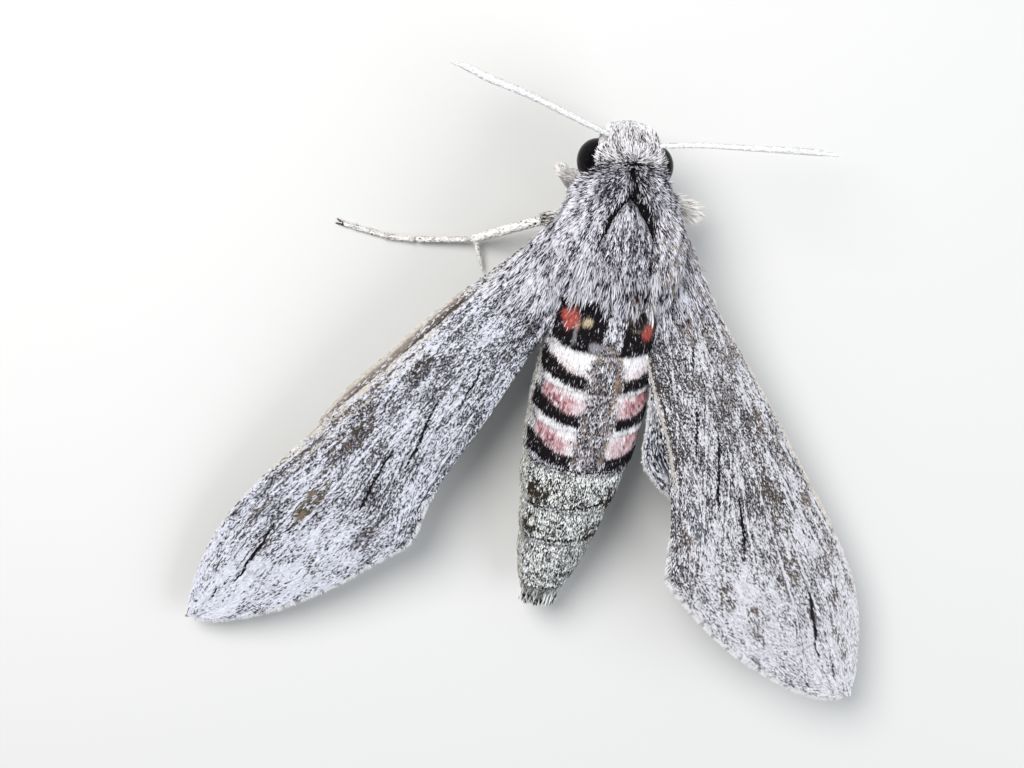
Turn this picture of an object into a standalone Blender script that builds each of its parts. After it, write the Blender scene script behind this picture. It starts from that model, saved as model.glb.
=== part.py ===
"""Life-size still model of a convolvulus hawk-moth at rest, wings swept back.

Run with: blender --background --python part.py
The moth is laid out with its head toward -Y, its left side toward +X, the floor at z = 0 and
y = 0 at the wing hinges. At the end the whole model is moved so that the origin is under the
middle of its outline. Lengths below are millimetres; MM turns them into Blender's metres.
"""
import bpy
import bmesh
import math
import numpy as np
from mathutils import Vector

# ------------------------------------------------------------------ driving dimensions (mm)
MM = 0.001
GAP = 0.3                      # clearance left between touching pieces
WING_THICKNESS = 0.55
BODY_SIDES = 20                # corners of a body section
TUBE_SIDES = 2                 # bevel resolution of legs and feelers

# The body's outline to the tips of its coat, from the brow to the end of the tail brush:
# y, sideways offset, height of the middle, half width, half height, forward lean of the top
BODY = (
    (-9.60, 0.20, 9.30, 0.70, 0.60, 0.00),
    (-9.15, 0.20, 9.30, 1.62, 1.45, 0.05),
    (-8.20, 0.20, 9.25, 2.40, 2.45, 0.15),
    (-7.00, 0.12, 9.20, 3.00, 3.15, 0.25),
    (-5.60, 0.05, 9.20, 3.50, 3.50, 0.33),
    (-4.00, 0.00, 9.20, 4.15, 4.10, 0.28),
    (-2.50, 0.00, 9.15, 4.80, 4.70, 0.18),
    (-0.80, -0.10, 9.10, 5.40, 5.15, 0.08),
    (1.50, -0.20, 9.00, 5.75, 5.40, 0.00),
    (4.00, -0.30, 8.85, 5.60, 5.20, -0.05),
    (6.40, -0.40, 8.50, 5.25, 4.75, -0.10),
    (9.50, -0.40, 7.80, 5.20, 4.40, -0.14),
    (13.30, -0.40, 7.10, 5.35, 4.30, -0.14),
    (17.20, -0.40, 6.55, 5.35, 4.20, -0.13),
    (21.60, -0.20, 6.00, 5.00, 3.95, -0.13),
    (25.80, 0.05, 5.45, 4.40, 3.50, -0.13),
    (29.60, 0.30, 4.95, 3.65, 2.90, -0.13),
    (33.00, 0.55, 4.45, 2.80, 2.20, -0.12),
    (35.20, 0.75, 4.15, 2.30, 1.70, -0.10),
    (37.40, 0.95, 3.95, 1.85, 1.20, -0.05),
)

# Where the body is parted, front to back, and the swell of each piece between its ends
PARTS = (
    ("head", -9.60, -5.60, 7, 0.000),
    ("collar", -5.60, -3.00, 5, 0.015),
    ("thorax", -3.00, 6.40, 9, 0.000),
    ("abdomen_1", 6.40, 9.50, 4, 0.012),
    ("abdomen_2", 9.50, 13.30, 4, 0.015),
    ("abdomen_3", 13.30, 17.20, 4, 0.015),
    ("abdomen_4", 17.20, 21.60, 4, 0.018),
    ("abdomen_5", 21.60, 25.80, 4, 0.018),
    ("abdomen_6", 25.80, 29.60, 4, 0.018),
    ("abdomen_7", 29.60, 35.20, 5, 0.015),
    ("tail_tuft", 35.20, 37.40, 3, 0.000),
)

EYE_CENTRE = (2.50, -5.85, 8.70)
EYE_RADII = (1.75, 1.95, 2.15)

TEGULA_CENTRE = (3.95, 1.30, 11.55)
TEGULA_RADII = (1.65, 4.70, 2.10)
TEGULA_YAW = 8.0               # degrees that the pads open toward the tail
TEGULA_ROLL = 38.0             # degrees that they lean over the shoulder

# Each wing lies in a plane through its hinge: sweep back from the side, drop of the tip below
# the hinge, and roll of the chord, all in degrees; then its size against the common outline.
WING_POSES = {
    "left": dict(side=1, hinge=(6.00, 0.55, 9.20), sweep=34.0, drop=8.0, roll=10.0,
                 length=0.985, chord=0.885, slip=-1.35),
    "right": dict(side=-1, hinge=(-6.00, 0.10, 9.20), sweep=30.0, drop=3.5, roll=15.0,
                  length=1.015, chord=1.080, slip=1.45),
}
# Leading and trailing edges of the wings: distance along the wing, distance behind its axis
FORE_LENGTH = 50.0
FORE_LEADING = ((0.0, -0.5), (6.0, -0.6), (12.5, -1.4), (20.0, -2.4), (28.0, -3.3),
                (35.0, -3.9), (41.0, -3.7), (45.5, -2.4), (48.3, -1.1), (50.0, 0.1))
FORE_TRAILING = {
    "left": ((0.0, 3.5), (6.0, 6.4), (12.0, 7.7), (17.5, 8.8), (22.5, 9.5), (26.0, 10.2),
             (30.6, 11.7), (33.0, 10.9), (38.5, 9.1), (43.5, 6.7), (47.5, 3.9), (49.2, 2.2),
             (50.0, 0.9)),
    "right": ((0.0, 3.5), (6.0, 6.4), (12.0, 7.5), (17.5, 8.2), (22.5, 9.7), (25.5, 11.0),
              (28.1, 12.2), (30.7, 11.7), (38.5, 9.2), (43.5, 6.6), (47.5, 3.9), (49.2, 2.2),
              (50.0, 0.9)),
}
HIND_LENGTH = 29.0
HIND_LEADING = ((0.0, 1.6), (6.0, 0.4), (12.0, -0.9), (19.0, -1.7), (25.0, -2.1),
                (28.0, -1.5), (29.0, -0.4))
HIND_TRAILING = ((0.0, 2.8), (5.0, 4.4), (11.0, 5.5), (14.0, 7.0), (17.2, 8.6), (19.8, 8.2),
                 (24.0, 6.2), (27.5, 3.2), (29.0, 0.6))
HIND_DEPTH = 1.0               # how far the hindwing lies under the forewing
FORE_CAMBER = 0.9
HIND_CAMBER = 0.5

# Feelers: from the brow to the hooked tip, with the radius at each point
ANTENNAE = {
    "left": ((1.50, -8.20, 10.40, 0.26), (3.1, -8.80, 10.90, 0.26), (6.4, -10.00, 11.40, 0.28),
             (9.7, -11.20, 11.80, 0.29),
             (13.6, -12.35, 12.00, 0.33), (15.3, -12.95, 12.05, 0.30),
             (16.5, -13.20, 12.25, 0.25)),
    "right": ((-1.20, -7.80, 10.40, 0.26), (-2.8, -8.10, 10.90, 0.26), (-5.6, -8.50, 11.30, 0.27),
              (-9.5, -8.75, 11.60, 0.29),
              (-14.8, -9.00, 11.70, 0.33), (-16.6, -9.05, 11.80, 0.30),
              (-17.7, -9.00, 12.00, 0.25)),
}
PALP = ((1.30, -5.70, 5.10, 0.55), (1.30, -6.35, 4.90, 0.66), (1.15, -7.05, 5.20, 0.66),
        (1.00, -7.55, 5.85, 0.56), (0.90, -7.80, 6.55, 0.38))
COIL_CENTRE = (0.10, -6.90, 4.90)
COIL_RADIUS = 1.40
COIL_THICKNESS = 0.56

# Legs: hip, knee, end of the shin and the points of the foot, all on the outer side of the body
LEGS = {
    "foreleg_left": dict(hip=(2.3, -3.2, 6.0), knee=(5.15, -4.50, 7.0), ankle=(3.3, -2.4, 3.0),
                         foot=((2.8, -1.3, 1.3), (2.6, 0.2, 0.45), (2.3, 1.6, 0.20),
                               (1.9, 3.2, 0.20)), spurs=()),
    "foreleg_right": dict(hip=(-2.2, -3.4, 6.0), knee=(-7.1, -1.75, 6.8), ankle=(-4.9, -2.8, 2.8),
                          foot=((-4.65, -3.2, 1.2), (-4.4, -3.9, 0.45), (-4.35, -4.8, 0.20),
                                (-4.3, -5.8, 0.20)), spurs=()),
    "midleg_left": dict(hip=(2.6, -0.4, 5.2), knee=(5.6, 0.3, 5.6), ankle=(11.1, 3.7, 1.15),
                        foot=((14.6, 4.15, 0.62), (17.4, 4.45, 0.40), (19.9, 4.1, 0.22),
                              (23.0, 3.5, 0.20)), spurs=((10.85, 3.50, 1.45), (9.65, 6.5, 0.60))),
    "midleg_right": dict(hip=(-2.6, -0.2, 5.2), knee=(-6.2, 1.2, 5.2), ankle=(-8.6, 6.0, 1.40),
                         foot=((-9.7, 8.2, 0.62), (-10.9, 10.6, 0.35), (-12.2, 13.0, 0.20),
                               (-13.8, 15.6, 0.20)), spurs=((-8.1, 5.1, 2.1), (-6.6, 7.0, 1.1))),
    "hindleg_left": dict(hip=(2.3, 4.2, 5.0), knee=(6.7, 8.2, 4.4), ankle=(11.3, 14.9, 1.35),
                         foot=((12.9, 17.0, 0.62), (14.4, 19.0, 0.35), (16.0, 21.2, 0.20),
                               (18.0, 23.8, 0.20)), spurs=((10.4, 13.6, 2.0), (12.8, 14.2, 1.2))),
    "hindleg_right": dict(hip=(-2.7, 4.2, 5.0), knee=(-7.0, 8.2, 4.4), ankle=(-11.0, 15.2, 1.35),
                          foot=((-12.3, 17.4, 0.62), (-13.5, 19.5, 0.35), (-14.8, 21.8, 0.20),
                                (-16.4, 24.6, 0.20)), spurs=((-10.3, 13.9, 2.0), (-12.6, 14.6, 1.2))),
}
FEMUR_RADII = (0.62, 0.66, 0.50)
TIBIA_RADII = (0.42, 0.40, 0.34)
TARSUS_RADIUS = 0.26
SPUR_RADIUS = 0.25
KNEE_BEND = 0.5                # how far along the shin its solid begins

# --------------------------------------------------------------------------- materials
COLOURS = {                    # base colour, roughness
    "hair_grey": ((0.36, 0.34, 0.35), 0.85),
    "hair_pale": ((0.66, 0.64, 0.64), 0.85),
    "abdomen_banded": ((0.42, 0.30, 0.29), 0.80),
    "abdomen_grey": ((0.40, 0.37, 0.36), 0.80),
    "wing_fore": ((0.38, 0.36, 0.37), 0.75),
    "wing_hind": ((0.34, 0.28, 0.25), 0.75),
    "eye_black": ((0.012, 0.010, 0.010), 0.15),
    "feeler_white": ((0.80, 0.79, 0.77), 0.70),
    "leg_pale": ((0.60, 0.57, 0.54), 0.75),
    "leg_brown": ((0.22, 0.16, 0.12), 0.75),
    "tongue_brown": ((0.12, 0.06, 0.03), 0.45),
}


def material(name):
    """The named material, made the first time that it is asked for."""
    found = bpy.data.materials.get(name)
    if found:
        return found
    colour, roughness = COLOURS[name]
    made = bpy.data.materials.new(name)
    made.use_nodes = True
    shader = made.node_tree.nodes["Principled BSDF"]
    shader.inputs["Base Color"].default_value = (*colour, 1.0)
    shader.inputs["Roughness"].default_value = roughness
    shader.inputs["Metallic"].default_value = 0.0
    return made


# --------------------------------------------------------------------------- helpers
def clear_scene():
    for old in list(bpy.data.objects):
        bpy.data.objects.remove(old, do_unlink=True)


def collection(name):
    made = bpy.data.collections.new(name)
    bpy.context.scene.collection.children.link(made)
    return made


def add_object(name, mesh, group, slot):
    """Link a mesh into a collection as an object with one material."""
    thing = bpy.data.objects.new(name, mesh)
    group.objects.link(thing)
    if slot:
        mesh.materials.append(material(slot))
    return thing


def mesh_from(name, bm, smooth=True):
    bmesh.ops.recalc_face_normals(bm, faces=bm.faces)
    mesh = bpy.data.meshes.new(name)
    bm.to_mesh(mesh)
    bm.free()
    if smooth:
        mesh.shade_smooth()
        mesh.set_sharp_from_angle(angle=math.radians(40))
    return mesh


def smooth_row(table, at):
    """The row of a table at a place on its first column, along a smooth curve through it."""
    rows = np.asarray(table, float)
    x, y = rows[:, 0], rows[:, 1:]
    slopes = np.gradient(y, x, axis=0)
    i = int(np.clip(np.searchsorted(x, at) - 1, 0, len(x) - 2))
    step = x[i + 1] - x[i]
    u = (at - x[i]) / step
    return ((2 * u**3 - 3 * u**2 + 1) * y[i] + (u**3 - 2 * u**2 + u) * step * slopes[i]
            + (3 * u**2 - 2 * u**3) * y[i + 1] + (u**3 - u**2) * step * slopes[i + 1])


def smooth_path(points, count):
    """Evenly spread points on a smooth curve through the given ones; extra columns follow."""
    rows = np.asarray(points, float)
    steps = np.linalg.norm(np.diff(rows[:, :3], axis=0), axis=1)
    along = np.concatenate([[0.0], np.cumsum(steps)])
    table = np.column_stack([along, rows])
    return [smooth_row(table, s) for s in np.linspace(0.0, along[-1], count)]


def cut_by(thing, cutter):
    """Take the cutter's shape away from an object."""
    bite = thing.modifiers.new("clearance_" + cutter.name, "BOOLEAN")
    bite.operation = "DIFFERENCE"
    bite.solver = "EXACT"
    bite.object = cutter


def make_cutter(thing):
    thing.hide_render = True
    thing.display_type = "WIRE"
    return thing


# --------------------------------------------------------------------------- body
def body_ring(y, grow=0.0):
    """Corners of the body's section at y, each side of it pushed out by grow."""
    offset, height, half_width, half_height, lean = smooth_row(BODY, y)
    ring = []
    for k in range(BODY_SIDES):
        turn = 2 * math.pi * k / BODY_SIDES
        rise = (half_height + grow) * math.sin(turn)
        side = (half_width + grow) * math.cos(turn)
        ring.append(Vector((offset + side, y - lean * rise, height + rise)) * MM)
    return ring


def body_mesh(name, front, back, count, swell=0.0, grow=0.0):
    """A closed length of the body between two places, through count sections."""
    bm = bmesh.new()
    rings = []
    for k in range(count):
        u = k / (count - 1)
        corners = body_ring(front + u * (back - front), grow)
        middle = sum(corners, Vector()) / BODY_SIDES
        bulge = 1.0 + swell * math.sin(math.pi * u)
        rings.append([bm.verts.new(middle + (c - middle) * bulge) for c in corners])
    for ahead, behind in zip(rings, rings[1:]):
        for k in range(BODY_SIDES):
            j = (k + 1) % BODY_SIDES
            bm.faces.new((ahead[k], ahead[j], behind[j], behind[k]))
    bm.faces.new(rings[0])
    bm.faces.new(rings[-1])
    return mesh_from(name, bm)


BODY_SLOTS = {"head": "hair_pale", "collar": "hair_grey", "thorax": "hair_grey",
              "tail_tuft": "hair_pale"}


def body_slot(name):
    if name in BODY_SLOTS:
        return BODY_SLOTS[name]
    return "abdomen_banded" if int(name[-1]) <= 4 else "abdomen_grey"


def build_body(group):
    """Head, collar, thorax, the seven lengths of the abdomen and the tail brush."""
    pieces = {}
    for name, front, back, count, swell in PARTS:
        start = front if name == "head" else front + GAP / 2
        end = back if name == "tail_tuft" else back - GAP / 2
        mesh = body_mesh(name, start, end, count, swell)
        pieces[name] = add_object(name, mesh, group, body_slot(name))
    return pieces


def ellipsoid(name, centre, radii, group, slot, grow=0.0, yaw=0.0, roll=0.0, rings=10):
    """A stretched sphere, its rotation kept on the object."""
    bm = bmesh.new()
    bmesh.ops.create_uvsphere(bm, u_segments=2 * rings, v_segments=rings, radius=MM)
    bmesh.ops.scale(bm, vec=[r + grow for r in radii], verts=bm.verts)
    thing = add_object(name, mesh_from(name, bm), group, slot)
    thing.location = Vector(centre) * MM
    thing.rotation_euler = (0.0, math.radians(roll), math.radians(yaw))
    return thing


def mirrored(point, side):
    return (point[0] * side, point[1], point[2])


def build_eyes(group, cutters, body):
    """Two bulging eyes, each in a socket shared by the head and the collar."""
    for word, side in (("left", 1), ("right", -1)):
        centre = mirrored(EYE_CENTRE, side)
        ellipsoid("eye_" + word, centre, EYE_RADII, group, "eye_black")
        socket = ellipsoid("socket_" + word, centre, EYE_RADII, cutters, None, GAP)
        make_cutter(socket)
        cut_by(body["head"], socket)
        cut_by(body["collar"], socket)


def build_tegulae(group, cutters, body):
    """The two scale pads over the wing roots, each lying in a hollow of the thorax."""
    bites = []
    for word, side in (("left", 1), ("right", -1)):
        centre = mirrored(TEGULA_CENTRE, side)
        turn = dict(yaw=-side * TEGULA_YAW, roll=side * TEGULA_ROLL)
        ellipsoid("tegula_" + word, centre, TEGULA_RADII, group, "hair_grey", rings=8, **turn)
        hollow = ellipsoid("hollow_" + word, centre, TEGULA_RADII, cutters, None, GAP, rings=8, **turn)
        make_cutter(hollow)
        cut_by(body["thorax"], hollow)
        bites.append(hollow)
    return bites


# --------------------------------------------------------------------------- wings
def wing_frame(pose):
    """Unit directions of a wing: along it, back across it, and out of its upper face."""
    sweep, drop, roll = (math.radians(pose[key]) for key in ("sweep", "drop", "roll"))
    side = pose["side"]
    along = Vector((side * math.sin(sweep) * math.cos(drop),
                    math.cos(sweep) * math.cos(drop), -math.sin(drop)))
    level = Vector((-side * math.cos(sweep), math.sin(sweep), 0.0))
    up = along.cross(level) * -side
    if up.z < 0:
        up.negate()
    across = level * math.cos(roll) + up * math.sin(roll)
    out = up * math.cos(roll) - level * math.sin(roll)
    return along, across, out


def wing_mesh(name, pose, length, leading, trailing, camber, depth=0.0, slip=0.0,
              spans=21, chords=6):
    """A wing's upper surface as a grid bent to its leading and trailing edges."""
    along, across, out = wing_frame(pose)
    bm = bmesh.new()
    bmesh.ops.create_grid(bm, x_segments=spans, y_segments=chords, size=0.5)
    for vert in bm.verts:
        u, v = vert.co.x + 0.5, vert.co.y + 0.5
        s = length * (1.0 - (1.0 - u) ** 1.35)
        front = smooth_row(leading, s)[0]
        back = smooth_row(trailing, s)[0]
        t = (front + v * (back - front)) * pose["chord"] + slip
        arch = camber * 4.0 * v * (1.0 - v) * math.sin(math.pi * min(1.0, s / length + 0.15)) ** 0.5
        spot = Vector(pose["hinge"]) + along * (s * pose["length"]) + across * t
        vert.co = (spot + out * (arch - depth)) * MM
    if pose["side"] < 0:
        bmesh.ops.reverse_faces(bm, faces=bm.faces)
    mesh = bpy.data.meshes.new(name)
    bm.to_mesh(mesh)
    bm.free()
    mesh.shade_smooth()
    return mesh


def build_wings(group, bites):
    """Forewings above, hindwings folded under them, all clear of the body and the pads."""
    for word, pose in WING_POSES.items():
        pair = (
            ("forewing_", FORE_LENGTH, FORE_LEADING, FORE_TRAILING[word], FORE_CAMBER, 0.0, 0.0),
            ("hindwing_", HIND_LENGTH, HIND_LEADING, HIND_TRAILING, HIND_CAMBER, HIND_DEPTH,
             pose["slip"]),
        )
        for prefix, length, leading, trailing, camber, depth, slip in pair:
            name = prefix + word
            mesh = wing_mesh(name, pose, length, leading, trailing, camber, depth, slip)
            slot = "wing_fore" if prefix == "forewing_" else "wing_hind"
            wing = add_object(name, mesh, group, slot)
            shell = wing.modifiers.new("thickness", "SOLIDIFY")
            shell.thickness = WING_THICKNESS * MM
            shell.offset = 0.0
            for bite in bites:
                cut_by(wing, bite)


# --------------------------------------------------------------------------- tubes
def tube(name, points, group, slot, count):
    """A tapering closed tube through points that carry their own radius."""
    line = bpy.data.curves.new(name, "CURVE")
    line.dimensions = "3D"
    line.bevel_depth = MM
    line.bevel_resolution = TUBE_SIDES
    line.use_fill_caps = True
    spline = line.splines.new("POLY")
    rows = smooth_path(points, count)
    spline.points.add(len(rows) - 1)
    for point, row in zip(spline.points, rows):
        point.co = (row[0] * MM, row[1] * MM, row[2] * MM, 1.0)
        point.radius = row[3]
    holder = bpy.data.objects.new(name + "_line", line)
    group.objects.link(holder)
    bpy.context.view_layer.update()
    graph = bpy.context.evaluated_depsgraph_get()
    mesh = bpy.data.meshes.new_from_object(holder.evaluated_get(graph))
    bpy.data.objects.remove(holder, do_unlink=True)
    bm = bmesh.new()
    bm.from_mesh(mesh)
    bmesh.ops.remove_doubles(bm, verts=bm.verts, dist=0.00001)
    bpy.data.meshes.remove(mesh)
    solid = mesh_from(name, bm)
    solid.materials.clear()
    return add_object(name, solid, group, slot)


def with_radii(points, radii):
    """Give each point of a path its radius, spread evenly over the given ones."""
    places = np.linspace(0.0, 1.0, len(radii))
    at = np.linspace(0.0, 1.0, len(points))
    return [(*p, float(np.interp(u, places, radii))) for p, u in zip(points, at)]


def toward(start, end, distance):
    """The point at a distance from start on the way to end."""
    a, b = Vector(start), Vector(end)
    return tuple(a + (b - a).normalized() * distance)


def stand_flat(thing):
    """Slice a piece off level with the floor, so that it rests on a flat."""
    bm = bmesh.new()
    bm.from_mesh(thing.data)
    geometry = bm.verts[:] + bm.edges[:] + bm.faces[:]
    cut = bmesh.ops.bisect_plane(bm, geom=geometry, plane_co=(0, 0, 0), plane_no=(0, 0, 1),
                                 clear_inner=True)
    rim = [e for e in cut["geom_cut"] if isinstance(e, bmesh.types.BMEdge)]
    bmesh.ops.contextual_create(bm, geom=rim)
    bmesh.ops.recalc_face_normals(bm, faces=bm.faces)
    bm.to_mesh(thing.data)
    bm.free()


def join_spur(tibia, name, root, end, cutters):
    """Grow one long spur out of a shin."""
    points = with_radii((root, toward(root, end, 1.2), end), (SPUR_RADIUS,) * 3)
    spur = make_cutter(tube(name, points, cutters, None, 4))
    grow = tibia.modifiers.new("spur", "BOOLEAN")
    grow.operation = "UNION"
    grow.solver = "EXACT"
    grow.object = spur


def build_legs(group, cutters, body_bite):
    """Six legs of thigh, shin and foot; the thighs end clear of the body."""
    for name, leg in LEGS.items():
        hip, knee, ankle, foot = leg["hip"], leg["knee"], leg["ankle"], leg["foot"]
        thigh = (hip, toward(knee, hip, 1.4), knee)
        femur = tube(name + "_femur", with_radii(thigh, FEMUR_RADII), group, "leg_brown", 5)
        cut_by(femur, body_bite)
        shin = (toward(knee, ankle, KNEE_BEND), toward(knee, ankle, 2.0),
                toward(ankle, knee, GAP / 2))
        tibia = tube(name + "_tibia", with_radii(shin, TIBIA_RADII), group, "leg_pale", 5)
        if leg["spurs"]:
            join_spur(tibia, name + "_spur", *leg["spurs"], cutters)
        reach = (hip, toward(knee, hip, 1.4), toward(knee, hip, -GAP))
        room = with_radii(reach, [radius + GAP for radius in FEMUR_RADII])
        cut_by(tibia, make_cutter(tube(name + "_knee_room", room, cutters, None, 5)))
        steps = (toward(ankle, foot[0], GAP / 2), *foot)
        tarsus = tube(name + "_tarsus", with_radii(steps, (TARSUS_RADIUS,) * 2), group,
                      "leg_pale", 10)
        stand_flat(tarsus)


# --------------------------------------------------------------------------- head pieces
def build_antennae(group, body_bite):
    """Two feelers, thickest near the tip, that end clear of the brow."""
    for word, points in ANTENNAE.items():
        feeler = tube("antenna_" + word, points, group, "feeler_white", 14)
        cut_by(feeler, body_bite)


def build_mouthparts(group, body_bite):
    """The two palps and, between them, the coiled tongue."""
    for word, side in (("left", 1), ("right", -1)):
        points = [(*mirrored(p, side), p[3]) for p in PALP]
        palp = tube("palp_" + word, points, group, "hair_pale", 7)
        cut_by(palp, body_bite)
    bm = bmesh.new()
    bmesh.ops.create_cone(bm, cap_ends=True, segments=28, radius1=COIL_RADIUS * MM,
                          radius2=COIL_RADIUS * MM, depth=COIL_THICKNESS * MM)
    coil = add_object("proboscis", mesh_from("proboscis", bm), group, "tongue_brown")
    coil.rotation_euler = (0.0, math.radians(90), 0.0)
    coil.location = Vector(COIL_CENTRE) * MM
    cut_by(coil, body_bite)


# --------------------------------------------------------------------------- whole moth
def centre_on_floor(group):
    """Hang every piece from one empty that puts the outline's middle over the origin."""
    bpy.context.view_layer.update()
    graph = bpy.context.evaluated_depsgraph_get()
    corners = []
    for thing in group.objects:
        posed = thing.evaluated_get(graph)
        corners += [posed.matrix_world @ v.co for v in posed.data.vertices]
    spread = np.array(corners)
    middle = (spread.min(axis=0) + spread.max(axis=0)) / 2
    anchor = bpy.data.objects.new("moth_anchor", None)
    bpy.context.scene.collection.objects.link(anchor)
    anchor.location = (-middle[0], -middle[1], -spread[:, 2].min())
    for thing in list(group.objects) + list(bpy.data.collections["cutters"].objects):
        thing.parent = anchor
    bpy.context.view_layer.update()


def main():
    clear_scene()
    moth = collection("hawk_moth")
    cutters = collection("cutters")
    body = build_body(moth)
    build_eyes(moth, cutters, body)
    bites = build_tegulae(moth, cutters, body)
    whole = body_mesh("body_clearance", BODY[0][0], BODY[-1][0], 28, grow=GAP)
    body_bite = make_cutter(add_object("body_clearance", whole, cutters, None))
    build_wings(moth, [body_bite] + bites)
    build_legs(moth, cutters, body_bite)
    build_antennae(moth, body_bite)
    build_mouthparts(moth, body_bite)
    centre_on_floor(moth)


main()
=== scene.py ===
# %% [markdown]
# # A convolvulus hawk-moth at rest, life size
# The moth rests with its wings swept back, as it does by day on bark or a leaf. A fixed frame of
# plain solids gives every size and place. Here each solid of flesh gets a thin skin a little
# inside it, and the skin grows the scales and hair that make a moth look soft.
# All lengths below are millimetres until a mesh is made; MM turns them into metres.

# %% Load the frame
import math
import bpy
import numpy as np
from mathutils import Matrix, Vector
from mathutils.noise import noise


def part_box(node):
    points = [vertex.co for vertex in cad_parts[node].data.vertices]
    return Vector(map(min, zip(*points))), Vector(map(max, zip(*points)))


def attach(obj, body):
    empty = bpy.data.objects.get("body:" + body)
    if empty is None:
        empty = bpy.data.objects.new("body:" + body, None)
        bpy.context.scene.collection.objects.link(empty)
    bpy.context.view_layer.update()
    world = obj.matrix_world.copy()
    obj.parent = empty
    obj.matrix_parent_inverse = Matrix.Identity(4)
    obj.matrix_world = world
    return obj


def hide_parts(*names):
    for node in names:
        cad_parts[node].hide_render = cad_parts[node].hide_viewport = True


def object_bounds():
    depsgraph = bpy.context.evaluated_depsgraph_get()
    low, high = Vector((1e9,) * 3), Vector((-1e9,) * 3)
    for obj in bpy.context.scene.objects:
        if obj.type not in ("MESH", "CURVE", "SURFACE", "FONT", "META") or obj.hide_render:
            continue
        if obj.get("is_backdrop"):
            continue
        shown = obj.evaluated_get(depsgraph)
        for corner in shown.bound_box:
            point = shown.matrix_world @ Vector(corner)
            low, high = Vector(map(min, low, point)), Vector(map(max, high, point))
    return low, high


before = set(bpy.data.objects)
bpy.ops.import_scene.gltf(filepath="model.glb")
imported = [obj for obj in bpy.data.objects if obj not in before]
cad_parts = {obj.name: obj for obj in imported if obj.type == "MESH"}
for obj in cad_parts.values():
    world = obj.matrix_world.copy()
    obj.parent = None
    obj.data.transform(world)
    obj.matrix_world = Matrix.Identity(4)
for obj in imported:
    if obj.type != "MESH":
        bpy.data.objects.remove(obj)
cad_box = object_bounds()
MM = 0.001
print("solids:", len(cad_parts))
print("size in mm:", [round((high - low) / MM, 1) for low, high in zip(*cad_box)])

# %% [markdown]
# ## Where the moth lies
# The moth is laid out with its head toward -Y, its left side toward +X and y = 0 at the wing
# hinges. The frame stands over its own origin, so the two differ by one shift. The left eye is
# a plain egg with a known middle, so its box gives that shift with no guessing.

# %% The shift from the moth's own layout to the frame
EYE_CENTRE = (2.50, -5.85, 8.70)
EYE_RADII = (1.75, 1.95, 2.15)
low_corner, high_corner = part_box("eye_left")
SHIFT = (low_corner + high_corner) / 2 - Vector(EYE_CENTRE) * MM
print("shift in mm:", [round(value / MM, 3) for value in SHIFT])

# %% [markdown]
# ## Helpers for smooth tables and soft edges
# A body is easiest to draw as a short table of sections, read along a smooth curve. Markings
# have soft edges, so every mark is a number from 0 to 1 that eases in and out.

# %% Tables, eases and lines
def smooth_rows(table, at):
    """Rows of a table at places on its first column, along a smooth curve through them."""
    rows = np.asarray(table, float)
    at = np.asarray(at, float)
    x, y = rows[:, 0], rows[:, 1:]
    slopes = np.gradient(y, x, axis=0)
    i = np.clip(np.searchsorted(x, at) - 1, 0, len(x) - 2)
    step = (x[i + 1] - x[i])[..., None]
    u = (at - x[i])[..., None] / step
    return ((2 * u**3 - 3 * u**2 + 1) * y[i] + (u**3 - 2 * u**2 + u) * step * slopes[i]
            + (3 * u**2 - 2 * u**3) * y[i + 1] + (u**3 - u**2) * step * slopes[i + 1])


def ease(start, end, value):
    """0 before start, 1 after end, and a smooth S between them; start may be past end."""
    u = np.clip((value - start) / (end - start), 0.0, 1.0)
    return u * u * (3.0 - 2.0 * u)


def inside(value, low, high, edge):
    """1 between low and high, easing to 0 over one edge width on each side."""
    return ease(low - edge, low + edge, value) * ease(high + edge, high - edge, value)


def path_gap(x, y, path):
    """How far each place lies outside a drawn path; each point of it is x, y, half width."""
    gap = np.full(np.shape(x), np.inf)
    for (x0, y0, half0), (x1, y1, half1) in zip(path, path[1:]):
        dx, dy = x1 - x0, y1 - y0
        u = np.clip(((x - x0) * dx + (y - y0) * dy) / (dx * dx + dy * dy), 0.0, 1.0)
        away = np.hypot(x - x0 - u * dx, y - y0 - u * dy)
        gap = np.minimum(gap, away - half0 - u * (half1 - half0))
    return gap


def stroke(x, y, path, edge):
    """A drawn line: 1 within its own half width, 0 past it."""
    return ease(edge, -edge, path_gap(x, y, path))


def spot(x, y, centre, radii):
    """A soft oval mark, strongest in its middle."""
    away = np.hypot((x - centre[0]) / radii[0], (y - centre[1]) / radii[1])
    return ease(1.0, 0.35, away)


def mottle(points, size, stretch=(1.0, 1.0, 1.0)):
    """Cloudy variation from about -1 to 1 at each point; size is one cloud in mm."""
    flat = (np.asarray(points) / size / np.asarray(stretch)).reshape(-1, 3)
    return np.array([noise(Vector(p)) for p in flat]).reshape(np.shape(points)[:-1])


print("ease at the middle:", float(ease(0, 1, 0.5)))

# %% [markdown]
# ## Skins as lofts
# Trunk, wings, legs and feelers are all one kind of shape: rings of points, one behind another,
# closed to a point at both ends. One function makes the quads, an unwrap (round the ring one
# way, along the rings the other) and the direction in which hair lies at each point.

# %% A loft
def unit(vectors):
    return vectors / np.maximum(np.linalg.norm(vectors, axis=-1, keepdims=True), 1e-9)


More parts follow.
